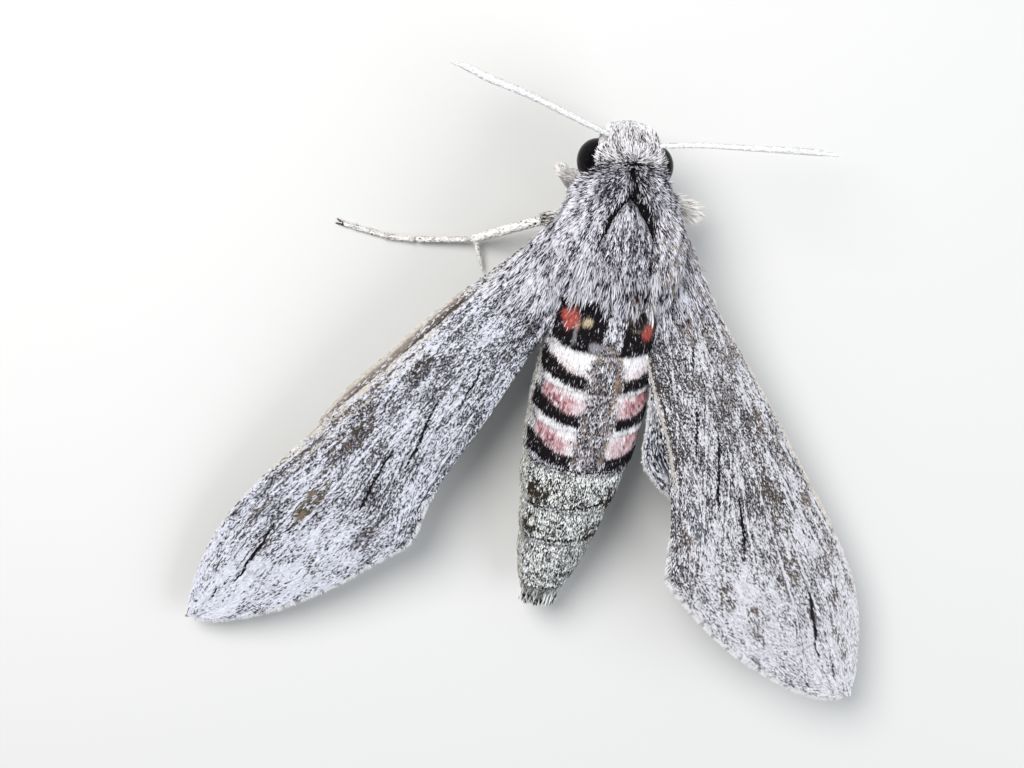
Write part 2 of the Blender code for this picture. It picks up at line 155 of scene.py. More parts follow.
def loft(rings, heading=0.0, **fields):
    """Rings (rows, columns, 3) as one closed skin. Heading turns the hair's lie, in degrees,
    from along the rings toward the next column. Fields are values kept at every point."""
    rows, columns = rings.shape[:2]
    along = unit(np.gradient(rings, axis=0))
    around = unit(np.roll(rings, -1, axis=1) - np.roll(rings, 1, axis=1))
    turn = np.radians(np.broadcast_to(heading, (rows, columns)))[..., None]
    lie = unit(np.cos(turn) * along + np.sin(turn) * around)
    fields = {name: np.broadcast_to(value, (rows, columns) + np.shape(value)[2:])
              for name, value in fields.items()}
    fields["lie"] = lie

    def with_poles(values):
        flat = values.reshape((rows * columns,) + values.shape[2:])
        return np.concatenate([flat, [values[0].mean(axis=0)], [values[-1].mean(axis=0)]])

    steps = np.linalg.norm(np.diff(rings, axis=0), axis=-1).mean(axis=1)
    v = np.concatenate([[0.0], np.cumsum(steps)]) / max(steps.sum(), 1e-9)
    front, back = rows * columns, rows * columns + 1
    faces, uvs = [], []
    for c in range(columns):
        d = (c + 1) % columns
        u0, u1 = c / columns, (c + 1) / columns
        faces.append((front, d, c))
        uvs.append(((u0 + u1) / 2, 0.0, u1, v[0], u0, v[0]))
        last = (rows - 1) * columns
        faces.append((last + c, last + d, back))
        uvs.append((u0, v[-1], u1, v[-1], (u0 + u1) / 2, 1.0))
    for r in range(rows - 1):
        here, there = r * columns, (r + 1) * columns
        for c in range(columns):
            d = (c + 1) % columns
            u0, u1 = c / columns, (c + 1) / columns
            faces.append((here + c, here + d, there + d, there + c))
            uvs.append((u0, v[r], u1, v[r], u1, v[r + 1], u0, v[r + 1]))
    return dict(points=with_poles(rings), faces=faces, uvs=uvs,
                fields={name: with_poles(value) for name, value in fields.items()})


square = np.array([(1, 0, 0), (0, 0, 1), (-1, 0, 0), (0, 0, -1)], float)
print("faces of a loft of two squares:", len(loft(np.stack([square, square + 1.0]))["faces"]))

# %% [markdown]
# A mesh could be made face by face with bmesh, but whole arrays handed over at once are far
# faster for skins of fifty thousand points. Several lofts can share one mesh, as the joints of
# a leg do. Faces have to point outwards, so a loft whose volume is negative is turned round.

# %% A mesh from lofts
def turned_out(points, faces):
    """Whether the faces of a closed shape point outwards: its volume is then positive."""
    volume = 0.0
    for face in faces:
        for j in range(1, len(face) - 1):
            a, b, c = points[face[0]], points[face[j]], points[face[j + 1]]
            volume += float(np.dot(a, np.cross(b, c)))
    return volume >= 0.0


def store(mesh, name, values):
    """Keep one number or one direction at every point of a mesh."""
    kind = "FLOAT" if values.ndim == 1 else "FLOAT_VECTOR"
    layer = mesh.attributes.get(name) or mesh.attributes.new(name, kind, "POINT")
    layer.data.foreach_set("value" if values.ndim == 1 else "vector",
                           np.asarray(values, np.float32).ravel())


def add_object(name, data):
    made = bpy.data.objects.new(name, data)
    bpy.context.scene.collection.objects.link(made)
    return made


def build_skin(name, lofts):
    """One object from one or more lofts; each loft keeps its own strip of the unwrap."""
    points = np.concatenate([part["points"] for part in lofts])
    faces, uvs, start = [], [], 0
    for k, part in enumerate(lofts):
        middle = part["points"].mean(axis=0)
        outward = turned_out(part["points"] - middle, part["faces"])
        for face, uv in zip(part["faces"], part["uvs"]):
            pairs = [((uv[2 * j] + k) / len(lofts), uv[2 * j + 1]) for j in range(len(face))]
            moved = [start + index for index in face]
            if not outward:
                moved.reverse()
                pairs.reverse()
            faces.append(moved)
            uvs.extend(pairs)
        start += len(part["points"])
    mesh = bpy.data.meshes.new(name)
    mesh.from_pydata(points * MM + np.array(SHIFT), [], faces)
    layer = mesh.uv_layers.new(name="unwrap")
    layer.data.foreach_set("uv", np.asarray(uvs, np.float32).ravel())
    for field in lofts[0]["fields"]:
        store(mesh, field, np.concatenate([part["fields"][field] for part in lofts]))
    mesh.shade_smooth()
    return add_object(name, mesh)


def read(mesh, name, width):
    """A layer of a mesh as an array, one row for each point."""
    layer = mesh.attributes[name]
    values = np.zeros(len(layer.data) * width, np.float32)
    layer.data.foreach_get("value" if width == 1 else "vector", values)
    return values.reshape(-1, width) if width > 1 else values


print("a flat shape counts as turned out:", turned_out(square, [(0, 1, 2, 3)]))

# %% [markdown]
# ## The trunk's outline
# Head, collar, thorax and the seven visible rings of the abdomen follow one table of oval
# sections. A row gives the place along the body, the sideways offset, the height of the middle,
# the half width, the half height, and how far the top leans forward. The solids reach to the
# tips of the coat, so the skin lies inside them by the coat's depth.

# %% Body sections
BODY = (
    (-9.60, 0.20, 9.30, 0.70, 0.60, 0.00), (-9.15, 0.20, 9.30, 1.62, 1.45, 0.05),
    (-8.20, 0.20, 9.25, 2.40, 2.45, 0.15), (-7.00, 0.12, 9.20, 3.00, 3.15, 0.25),
    (-5.60, 0.05, 9.20, 3.50, 3.50, 0.33), (-4.00, 0.00, 9.20, 4.15, 4.10, 0.28),
    (-2.50, 0.00, 9.15, 4.80, 4.70, 0.18), (-0.80, -0.10, 9.10, 5.40, 5.15, 0.08),
    (1.50, -0.20, 9.00, 5.75, 5.40, 0.00), (4.00, -0.30, 8.85, 5.60, 5.20, -0.05),
    (6.40, -0.40, 8.50, 5.25, 4.75, -0.10), (9.50, -0.40, 7.80, 5.20, 4.40, -0.14),
    (13.30, -0.40, 7.10, 5.35, 4.30, -0.14), (17.20, -0.40, 6.55, 5.35, 4.20, -0.13),
    (21.60, -0.20, 6.00, 5.00, 3.95, -0.13), (25.80, 0.05, 5.45, 4.40, 3.50, -0.13),
    (29.60, 0.30, 4.95, 3.65, 2.90, -0.13), (33.00, 0.55, 4.45, 2.80, 2.20, -0.12),
    (35.20, 0.75, 4.15, 2.30, 1.70, -0.10), (37.40, 0.95, 3.95, 1.85, 1.20, -0.05),
)
# where each ring of the abdomen begins, and where the last one ends
SEGMENT_EDGES = (6.4, 9.5, 13.3, 17.2, 21.6, 25.8, 29.6, 35.2)
# place along the body and depth of the coat there
COAT_DEPTH = ((-9.6, 0.32), (-8.0, 0.34), (-5.6, 0.38), (-2.0, 0.45), (5.0, 0.45), (7.5, 0.25),
              (33.0, 0.22), (37.4, 0.45))
# from, to and number of rows of points: closest on the head and collar, then the thorax
TRUNK_ROWS = ((-9.42, -2.0, 84), (-1.9, 7.0, 72), (7.1, 36.9, 144))
TRUNK_COLUMNS = 180


def trunk_point(y, degrees, lift):
    """A place on the trunk: y along it, degrees from the top of the back toward the moth's
    left, and lift above (or below) the outline."""
    offset, height, half_width, half_height, lean = np.moveaxis(smooth_rows(BODY, y), -1, 0)
    rise = (half_height + lift) * np.cos(np.radians(degrees))
    side = (half_width + lift) * np.sin(np.radians(degrees))
    return np.stack([offset + side, y - lean * rise, height + rise], axis=-1)


def trunk_width(y):
    return smooth_rows(BODY, y)[..., 2]


def back_path(points):
    """A path of (y, degrees, half width) as flat millimetres across and along the back."""
    return [(math.radians(deg) * float(trunk_width(y)), y, half) for y, deg, half in points]


print("trunk length:", BODY[-1][0] - BODY[0][0])

# %% [markdown]
# ## Relief of the trunk
# Two long pads of scales (tegulae) cover the wing roots, a collar of two lobes stands behind
# the head, and black furrows part the lobes from the middle of the thorax. Each ring of the
# abdomen overlaps the next by a small step. All of it is a lift added to the plain outline.

# %% Furrows and pads
LEFT_FURROW = back_path(((-2.75, 8, .22), (-2.30, 14, .26), (-1.47, 20, .22),
                         (-0.35, 26, .20), (0.45, 29, .12), (1.10, 30, .02)))
RIGHT_FURROW = back_path(((-2.95, -1, .30), (-2.65, -7, .44), (-1.92, -17, .52),
                          (-0.95, -25, .50), (-0.25, -25, .34), (0.48, -23, .24),
                          (2.02, -23, .24), (3.70, -24, .26), (5.6, -26, .22)))
SHORT_FURROW = back_path(((-2.25, 50, .10), (-1.60, 49, .11), (-0.67, 49, .08)))
ARCH = back_path(((-2.75, 8, .20), (-3.05, 3, .28), (-2.95, -1, .30)))
FURROWS = (LEFT_FURROW, RIGHT_FURROW, SHORT_FURROW, ARCH)
WEDGE = back_path(((-5.15, 3, .06), (-4.60, 2, .20), (-3.90, 0, .20), (-3.25, -1, .12)))
PART_AT = -5.55  # where the hair parts between head and collar, on the back
PART_BEND = 1.15  # how far the parting swings back at the side of the neck
# rounded pads: middle in degrees and mm, half size in degrees and mm, height, roundness
PADS = ((57.0, 1.2, 30.0, 4.9, 0.85, 0.7), (33.0, -3.7, 31.0, 1.9, 0.45, 0.7),
        (-57.0, 1.2, 30.0, 4.9, 0.85, 0.7), (-33.0, -3.7, 31.0, 1.9, 0.45, 0.7),
        (3.0, 1.3, 27.0, 4.6, 0.40, 0.5))
FURROW_DEPTH = 0.50
PARTING_DEPTH = 0.35
TAIL_STEP = 0.22  # drop from the last ring to the tail's brush


def parting(degrees):
    """Where the head's forward hair parts from the collar's backward hair."""
    return PART_AT + PART_BEND * (np.abs(degrees) / 61.0) ** 1.5


def oval(value_a, value_b, power):
    """A rounded pad over the unit circle."""
    return np.clip(1.0 - value_a**2 - value_b**2, 0.0, 1.0) ** power


def trunk_lift(y, deg):
    """Height of the skin's relief over the plain outline, without the coat's depth."""
    flat = np.radians(deg) * trunk_width(y)
    lift = np.zeros(np.shape(y))
    for degrees, place, half_degrees, half_length, height, roundness in PADS:
        lift += height * oval((deg - degrees) / half_degrees, (y - place) / half_length, roundness)
    for path in FURROWS:
        lift -= FURROW_DEPTH * stroke(flat, y, path, 0.25)
    dip = ease(0.5, 0.0, np.abs(y - parting(deg))) * ease(100.0, 60.0, np.abs(deg))
    lift -= PARTING_DEPTH * dip
    for front, back in zip(SEGMENT_EDGES, SEGMENT_EDGES[1:]):
        u = np.clip((y - front) / (back - front), 0.0, 1.0)
        swell = 0.16 * np.sin(math.pi * np.clip(u * 0.9 + 0.05, 0, 1)) + 0.10 * u
        lift += np.where((y >= front) & (y < back), swell, 0.0)
    lift -= TAIL_STEP * ease(35.15, 35.35, y)
    flank = inside(np.abs(deg), 62.0, 125.0, 20.0) * inside(y, 10.0, 30.0, 2.5)
    lift -= np.where(deg < 0, 0.66, 0.42) * flank
    lift -= 0.35 * inside(deg, -125.0, -62.0, 20.0) * inside(y, 23.5, 28.5, 2.0)
    cheek = inside(y, -9.0, -5.7, 0.7) * inside(np.abs(deg), 38.0, 100.0, 18.0)
    lift += np.where(deg < 0, 0.42, 0.28) * cheek
    lock_relief = mottle(np.stack([flat, y, 0.0 * y], axis=-1), 0.50, (1.0, 2.8, 1.0))
    return lift + lock_relief * (0.06 + 0.20 * inside(y, -5.0, 5.5, 1.5))


print("pad height:", float(trunk_lift(np.array(1.2), np.array(57.0))))

# %% [markdown]
# ## Markings of the trunk
# The coat is salt and pepper: each hair is either pale or dusky, and a field called dark says how
# many of them are dusky. Over that go marks (black furrows, white, rose and black bands, two red
# spots), which are a paint colour and a strength; the black furrows are partly the moth's own
# lines and partly painted shade. Skin and hair both read the same fields, so no gap in the coat
# shows another colour.

# %% Paints
BLACK = (0.008, 0.006, 0.008)
WHITE = (0.94, 0.93, 0.96)
ROSE = (0.52, 0.215, 0.24)
SALMON = (0.66, 0.33, 0.29)
RED = (0.50, 0.105, 0.085)
TAN = (0.36, 0.26, 0.18)
BEIGE = (0.66, 0.56, 0.38)
BROWN = (0.038, 0.029, 0.021)


class Paintwork:
    """A paint and its strength (mark) at every point."""

    def __init__(self, shape, colour=(0.0, 0.0, 0.0), mark=0.0):
        self.paint = np.zeros(tuple(shape) + (3,)) + colour
        self.mark = np.full(shape, mark)

    def lay(self, colour, mask):
        """Lay one more paint over what is there; mask is where and how thickly."""
        mask = np.clip(mask, 0.0, 1.0)
        total = mask + self.mark * (1.0 - mask)
        share = np.where(total > 1e-6, mask / np.maximum(total, 1e-6), 0.0)[..., None]
        self.paint = self.paint * (1.0 - share) + np.array(colour) * share
        self.mark = total


swatch = Paintwork((1,), WHITE, 1.0)
swatch.lay(ROSE, 0.5)
print("half a coat of rose over white:", swatch.paint.round(2))

# %% [markdown]
# ## Bands of the abdomen
# Three rings behind the first each carry a white band, a rose one and a black one on both
# flanks, parted by a grey stripe down the back. A picture wrapped round the body would blur
# close up. Bands written as rules stay sharp on every hair.

# %% Bands of the abdomen
# white from and to, rose to, black from and to, strength of the rose, for each banded ring
BANDS = ((9.95, 11.35, 11.95, 11.60, 13.25, 0.35), (13.30, 14.25, 15.70, 15.50, 16.95, 1.05),
         (17.05, 18.15, 19.70, 19.70, 21.15, 0.90))
STRIPE_HALF = 15.0  # half width in degrees of the plain stripe down the back
BAND_SWING = 0.60  # how far the bands swing forward toward the flanks
HAIR_SHIFT = 0.35  # a hair shows this far behind its root
STRIPE_BROWN = (0.36, 0.30, 0.27)


def band_marks(work, y, deg, rough, fine):
    """White, rose and black across each banded ring, either side of the stripe."""
    away = np.abs(deg)
    stripe = ease(STRIPE_HALF + 5.0, STRIPE_HALF - 2.0, away + 5.0 * rough)
    u = y + HAIR_SHIFT + BAND_SWING * ease(15.0, 70.0, away) + 0.16 * fine
    brown_edge = inside(away, 9.0, 20.0, 4.0) * inside(y, 9.0, 20.5, 1.0)
    brown_edge *= 0.22 + 0.6 * rough + 0.12 * (deg < 0)
    brown_edge += spot(deg, y + fine, (-15.5, 11.9), (9.0, 1.9)) * (0.60 + 1.3 * rough)
    work.lay(TAN, brown_edge)
    warm = ease(18.0, 10.0, away) * inside(y, 9.0, 20.8, 0.8)
    work.lay(STRIPE_BROWN, warm * (0.24 + 0.5 * fine))
    side = (1.0 - stripe) * ease(72.0, 60.0, away + 6.0 * rough)
    black_side = (1.0 - stripe) * ease(86.0, 74.0, away + 6.0 * rough)
    flank = ease(28.0, 58.0, away)
    for start, white_end, rose_end, black_start, black_end, strength in BANDS:
        begin = black_start - 0.55 * flank + 0.20 * fine
        work.lay(BLACK, 1.3 * black_side * inside(u, begin, black_end, 0.14))
        last = rose_end - 0.55 * flank + 0.15 * fine
        work.lay(WHITE, 1.3 * side * inside(u, start, last, 0.12))
        early = 0.30 * flank + np.where(deg < 0, 0.25, 0.0)
        rose = inside(u, white_end + 0.1 - early, last, 0.36) * side
        rose *= 1.0 - 0.5 * ease(34.0, 20.0, away)
        tint = ROSE if strength > 0.7 else SALMON
        work.lay(tint, strength * rose * (0.9 + 1.1 * fine))
        streaks = ease(0.06, 0.16, fine) * inside(u, white_end + 0.5, last, 0.3)
        work.lay(BLACK, 0.75 * streaks * side * ease(26.0, 36.0, away))
        work.lay(BLACK, 0.5 * inside(away, 62.0, 74.0, 5.0) * inside(u, start, black_start, 0.2)
                 * (0.6 + 1.2 * rough))


print("banded rings:", len(BANDS), "from", BANDS[0][0], "to", BANDS[-1][4])

# %% [markdown]
# ## The first ring
# Behind the thorax lie two large black blotches, and in each a red spot. Spots are soft ovals
# laid one over another, small ones last, as a painter would.

# %% The first ring
BLUE_GREY = (0.45, 0.44, 0.50)
WARM_GREY = (0.40, 0.39, 0.42)
BRICK = (0.55, 0.28, 0.22)
# ovals over the blotches: middle (degrees, mm), half size (degrees, mm), paint, strength
FIRST_SPOTS = (((15.0, 9.15), (10.0, 0.75), BLUE_GREY, 0.8),
               ((38.5, 8.4), (3.5, 1.3), WARM_GREY, 0.6), ((48.5, 6.9), (12.5, 1.45), RED, 1.5),
               ((-35.0, 7.4), (10.0, 1.20), RED, 1.4), ((38.0, 7.3), (4.0, 0.7), BRICK, 0.9),
               ((28.5, 6.9), (6.5, 0.75), BEIGE, 1.2), ((-21.0, 7.3), (8.0, 0.35), TAN, 0.6))


def first_ring_marks(work, y, deg, rough):
    """The two black blotches behind the thorax, with their red spots."""
    u = y + HAIR_SHIFT + 0.10 * rough
    bottom = 9.75 - 0.40 * ease(40.0, 64.0, np.abs(deg))
    left = inside(deg, 11.0, 66.0, 3.0) * inside(u, 5.1, bottom, 0.15)
    right = inside(deg, -48.0, -9.0, 3.0) * inside(u, 5.7, bottom, 0.15)
    work.lay(BLACK, 1.4 * np.maximum(left, right))
    for middle, radii, colour, strength in FIRST_SPOTS:
        work.lay(colour, strength * spot(deg, u, middle, radii))


print("ovals on the first ring:", len(FIRST_SPOTS))

# %% [markdown]
# ## The plain rings
# Toward the tail the bands fade. A thin dark line of painted shadow is laid where one ring slides
# over the next, and a brown cloud on each side.

# %% Lines and patches of the plain rings
# place along the body, how far the line sways to one side, strength
RING_SHADOW_LINES = ((21.50, 0.0, 1.0), (25.40, 0.85, 0.9), (29.05, 0.50, 0.9), (35.25, 0.0, 0.9))
# middle in degrees and mm, strength
RING_PATCHES = ((46.0, 24.2, 1.00), (-44.0, 24.4, 0.85), (55.0, 28.0, 0.85), (-38.0, 28.2, 0.60))


def rear_marks(work, y, deg, rough, fine):
    """Thin dark ring lines and brown patches on the plain rings toward the tail."""
    away = np.abs(deg)
    # Each ring line is painted shadow where one ring overlaps the next.
    for at, sway, strength in RING_SHADOW_LINES:
        bend = at - HAIR_SHIFT + sway * np.sin(np.radians(deg))
        line = ease(0.15, 0.06, np.abs(y - bend + 0.04 * fine)) * ease(80.0, 66.0, away)
        work.lay(BLACK, 1.3 * line * strength)
    for middle, at, strength in RING_PATCHES:
        patch = spot(deg, y + 1.2 * fine, (middle, at), (26.0, 1.60))
        work.lay(BROWN, patch * strength * (1.0 + 1.5 * rough + fine))


print("lines at:", [row[0] for row in RING_SHADOW_LINES])

# %% [markdown]
# ## Marks of the thorax
# The black furrows that were cut into the skin are inked here too, partly as the moth's own black
# lines and partly as painted shade, so they read as gaps between pads of hair even in flat light.
# A black wedge points at the parting behind the head, and a dark line along the parting is partly
# dark hair and partly painted shade in its dip.

# %% Marks of the thorax
LOCK_BROWN = (0.42, 0.36, 0.32)


def thorax_marks(work, y, deg, rough):
    """Black furrows, the wedge behind the head and a tan streak at the right rear."""
    flat = np.radians(deg) * trunk_width(y)
    furrows = np.zeros(y.shape)
    for path in FURROWS:
        furrows = np.maximum(furrows, stroke(flat, y + 0.2, path, 0.09))
    furrows = np.maximum(furrows, 0.8 * stroke(flat, y, WEDGE, 0.14))
    wedge = ease(0.20, -0.10, np.abs(flat + 0.05) - 0.42 * (y + 5.5)) * inside(y, -5.6, -3.3, 0.2)
    work.lay(TAN, 0.55 * inside(deg, -22.0, -9.0, 3.0) * inside(y, 3.0, 5.8, 0.6) * (0.6 + rough))
    work.lay(LOCK_BROWN, 0.50 * inside(deg, -75.0, -28.0, 8.0) * inside(y, -2.0, 6.5, 1.5)
             * (0.5 + 1.4 * rough))
    work.lay(BLACK, 0.72 * wedge)
    # The inked furrows: partly the moth's black lines, partly painted shade in the furrows.
    work.lay(BLACK, 1.4 * furrows)
    # A dark line along the parting: partly dark hair, partly painted shade in the dip where the
    # hair parts.
    line = ease(0.45, 0.10, np.abs(y - parting(deg) + 0.10 * rough))
    line = line * ease(95.0, 60.0, np.abs(deg))
    work.lay(BLACK, line * (0.42 + 0.35 * ease(30.0, 5.0, np.abs(deg))))


print("inked furrows:", len(FURROWS))

# %% [markdown]
# ## The whole trunk's pattern
# The share of dusky hairs changes slowly from head to tail and quickly from lock to lock, so it is
# a sum of smooth steps and noise. The noise that raises the locks also puts fewer dusky hairs on
# them and more in the troughs between them, as painted light and shade. The marks are laid over it
# in order.

# %% The trunk's pattern
DARK_RANGE = (0.03, 0.97)  # even the palest fur has a few dusky hairs, and the reverse
FIRST_STRIPE_BROWN = (0.30, 0.25, 0.21)
FLANK_CREAM = (0.66, 0.64, 0.55)


def trunk_marks(y, deg, spots):
    """Paint, its strength and the share of dusky hairs over the whole trunk."""
    work = Paintwork(y.shape)
    away = np.abs(deg)
    flat = np.radians(deg) * trunk_width(y)
    rough = mottle(spots, 0.60)
    fine = mottle(spots, 0.28)
    flow = np.stack([flat, y, 0.0 * y], axis=-1)
    tufts = mottle(flow, 0.42, (1.0, 2.6, 1.0))
    lock_relief = mottle(flow, 0.50, (1.0, 2.8, 1.0))
    drawn = mottle(flow, 0.24, (1.0, 6.0, 1.0)) * inside(y, -4.6, 5.5, 0.8)
    # Fewer dusky hairs on the raised locks and more in the troughs between them: painted light and
    # shade from the same noise that lifts the skin.
    dark = 0.56 + 0.36 * tufts - 0.60 * lock_relief + 0.22 * mottle(spots, 1.5) + 0.50 * drawn
    dark -= 0.17 * ease(-5.2, -6.6, y)
    dark += 0.21 * inside(y, -5.4, -2.6, 0.7) * ease(70.0, 35.0, away)
    dark += 0.16 * inside(y, -2.0, 5.0, 1.0) * ease(32.0, 22.0, away)
    dark -= 0.10 * inside(deg, 38.0, 110.0, 10.0) * inside(y, -3.5, 6.0, 1.0)
    dark -= 0.06 * inside(deg, -110.0, -38.0, 10.0) * inside(y, -3.5, 6.0, 1.0)
    dark -= 0.18 * ease(96.0, 130.0, away)
    abdomen = ease(8.5, 9.5, y)
    dark += abdomen * (0.28 * ease(22.0, 12.0, away) * ease(21.5, 20.5, y))
    first_stripe = inside(y, 7.4, 10.2, 0.6) * ease(26.0, 16.0, away)
    dark += 0.20 * first_stripe
    rear = ease(21.0, 21.6, y)
    plain = 0.57 + 0.30 * rough + 0.16 * mottle(spots, 1.5)
    dark = dark * (1.0 - rear) + plain * rear
    band_marks(work, y, deg, rough, fine)
    first_ring_marks(work, y, deg, rough)
    rear_marks(work, y, deg, rough, fine)
    thorax_marks(work, y, deg, rough)
    work.lay(WHITE, 0.45 * ease(-7.6, -8.8, y))
    warm = 0.45 * first_stripe * (0.5 + 1.5 * rough) * (1.0 - work.mark)
    work.lay(FIRST_STRIPE_BROWN, warm)
    flank = ease(60.0, 78.0, away) * ease(9.0, 11.0, y)
    work.lay(FLANK_CREAM, 0.45 * flank * (1.0 - work.mark))
    return work.paint, work.mark, np.clip(dark, *DARK_RANGE)


print("share of dusky hairs from and to:", DARK_RANGE)

# %% [markdown]
# ## The lie of the hair
# Hair on the head streams forward from a parting, hair on the collar fans back and outward from
# the same point, and hair on the thorax runs back with a small fan. A heading of 0 means
# straight back, 90 means round the body toward the moth's left.

# %% Trunk skin
CLUMP_SWAY = 20.0  # degrees by which neighbouring locks lean together


def trunk_heading(y, deg, wave):
    """Which way the hair lies; wave is the noise that gathers it in locks."""
    flat = np.radians(deg) * trunk_width(y)
    near = np.degrees(np.arctan2(flat, y + 5.75))
    far = np.degrees(np.arctan2(flat, y + 15.0))
    mix = ease(-4.2, -0.5, y)
    back = near * (1.0 - mix) + far * mix
    back = np.where(y > 4.0, back * ease(10.0, 4.0, y), back)
    back = back + CLUMP_SWAY * wave * ease(21.0, 8.0, y)
    spread = 180.0 - np.clip(np.abs(near), 70.0, 180.0)
    spread *= 0.20 + 0.55 * ease(-7.6, -5.8, y)
    front = np.where(flat >= 0, 1.0, -1.0) * (180.0 - spread) + 10.0 * wave
    return np.where(y < parting(deg), front, back)


def make_trunk():
    y = np.concatenate([np.linspace(*rows) for rows in TRUNK_ROWS])
    deg = np.arange(TRUNK_COLUMNS) * 360.0 / TRUNK_COLUMNS
    deg = np.where(deg > 180.0, deg - 360.0, deg)
    y, deg = np.meshgrid(y, deg, indexing="ij")
    depth = smooth_rows(COAT_DEPTH, y)[..., 0]
    rings = trunk_point(y, deg, trunk_lift(y, deg) - depth)
    paint, mark, dark = trunk_marks(y, deg, rings)
    place = np.stack([y, np.sin(np.radians(deg)), np.cos(np.radians(deg))], axis=-1)
    wave = mottle(rings, 0.9)
    part = loft(rings, trunk_heading(y, deg, wave), paint=paint, mark=mark, dark=dark, place=place)
    return build_skin("trunk_skin", [part])


def trunk_blade_marks(place, roots):
    """The trunk's marks again, at the very root of each blade."""
    return trunk_marks(place[:, 0], np.degrees(np.arctan2(place[:, 1], place[:, 2])), roots)


trunk_skin = make_trunk()
trunk_place = read(trunk_skin.data, "place", 3)
TRUNK_Y = trunk_place[:, 0]
TRUNK_DEG = np.degrees(np.arctan2(trunk_place[:, 1], trunk_place[:, 2]))
print("trunk skin points:", len(trunk_skin.data.vertices))

# %% [markdown]
# ## One blade of each kind
# A coat has tens of thousands of blades, so each has as few faces as will still catch the light:
# a flat scale is a closed shape of four triangles, a hair is a bent lance of six, and a long
# hair of the fan and the brush has twelve. Each is one unit long and wide and is scaled where
# it is placed. The card is its own little square of the map for baked colour.

# %% Blades
def make_blade(name, points, faces):
    """A blade that keeps its own map and, at each point, how far that is along it."""
    mesh = bpy.data.meshes.new(name)
    mesh.from_pydata(points, [], faces)
    card = [(x + 0.5, y, 0.0) for x, y, _ in points]
    store(mesh, "card", np.array(card))
    store(mesh, "along", np.array([y for _, y, _ in points]))
    mesh.shade_flat()
    return add_object(name, mesh)


flat_scale = make_blade("flat_scale",
                        [(0, 0, 0), (-0.5, 0.62, -0.02), (0.5, 0.62, -0.02), (0, 1, 0.03)],
                        [(0, 3, 1), (0, 2, 3), (0, 1, 2), (1, 3, 2)])
flat_hair = make_blade("flat_hair",
                       [(0, 0, 0), (-0.5, 0.55, 0.01), (0.5, 0.55, 0.01), (0, 1, 0.05)],
                       [(0, 3, 1), (0, 2, 3), (0, 1, 2), (1, 3, 2)])
hair_lance = make_blade("hair_lance",
                        [(0, 0, 0), (-0.5, 0.42, 0.02), (0.5, 0.42, 0.02), (0, 0.45, 0.10),
                         (0, 1, 0.0)],
                        [(0, 3, 1), (0, 2, 3), (0, 1, 2), (1, 3, 4), (3, 2, 4), (2, 1, 4)])
long_hair = make_blade("long_hair",
                       [(0, 0, 0), (-0.5, 0.3, 0.03), (0.5, 0.3, 0.03), (0, 0.3, 0.09),
                        (-0.38, 0.7, 0.03), (0.38, 0.7, 0.03), (0, 0.7, 0.08), (0, 1, 0)],
                       [(0, 3, 1), (0, 2, 3), (0, 1, 2), (1, 3, 6, 4), (3, 2, 5, 6),
                        (2, 1, 4, 5), (4, 6, 7), (6, 5, 7), (5, 4, 7)])
BLADES = (flat_scale, flat_hair, hair_lance, long_hair)
print("faces of the blades:", [len(blade.data.polygons) for blade in BLADES])

# %% [markdown]
# ## A coat from Geometry Nodes
# Hair could be particles or curves, but a solid blade at every root survives in any file. The
# tree scatters roots over a skin, turns a blade to the skin's own normal and lie, lifts and
# splays it a little at random, and realizes the lot. Every blade keeps two random numbers, tone
# and shade, which choose its colour later.

# %% The coat tree
def add_node(tree, kind, **settings):
    node = tree.nodes.new(kind)
    for name, value in settings.items():
        setattr(node, name, value)
    return node


def feed(tree, socket, value):
    """Set an input to a plain value, or link it to another node's output."""
    if isinstance(value, (int, float, tuple)):
        socket.default_value = value
    else:
        tree.links.new(value, socket)


def sum_node(tree, operation, a, b=0.0, c=None, clamp=False):
    """A Math node on two or three numbers."""
    node = add_node(tree, "ShaderNodeMath", operation=operation, use_clamp=clamp)
    for socket, value in zip(node.inputs, (a, b, c)):
        if value is not None:
            feed(tree, socket, value)
    return node.outputs["Value"]


# how far one blade may differ from the next
LIFT_SPREAD = (0.4, 1.6)  # share of the coat's lift
ROLL_SPREAD = (-0.35, 0.35)  # radians about the blade's own length
SPLAY_SPREAD = (-1.0, 1.0)  # share of the coat's splay
LENGTH_SPREAD = (0.70, 1.25)
WIDTH_SPREAD = (0.75, 1.25)
NUMBER = "NodeSocketFloat"
COLOUR = "NodeSocketColor"
COAT_INPUTS = (("Skin", "NodeSocketGeometry"), ("Blade", "NodeSocketObject"), ("Density", NUMBER),
               ("Length", NUMBER), ("Width", NUMBER), ("Lift", NUMBER), ("Splay", NUMBER),
               ("Seed", "NodeSocketInt"), ("Finish", "NodeSocketMaterial"))


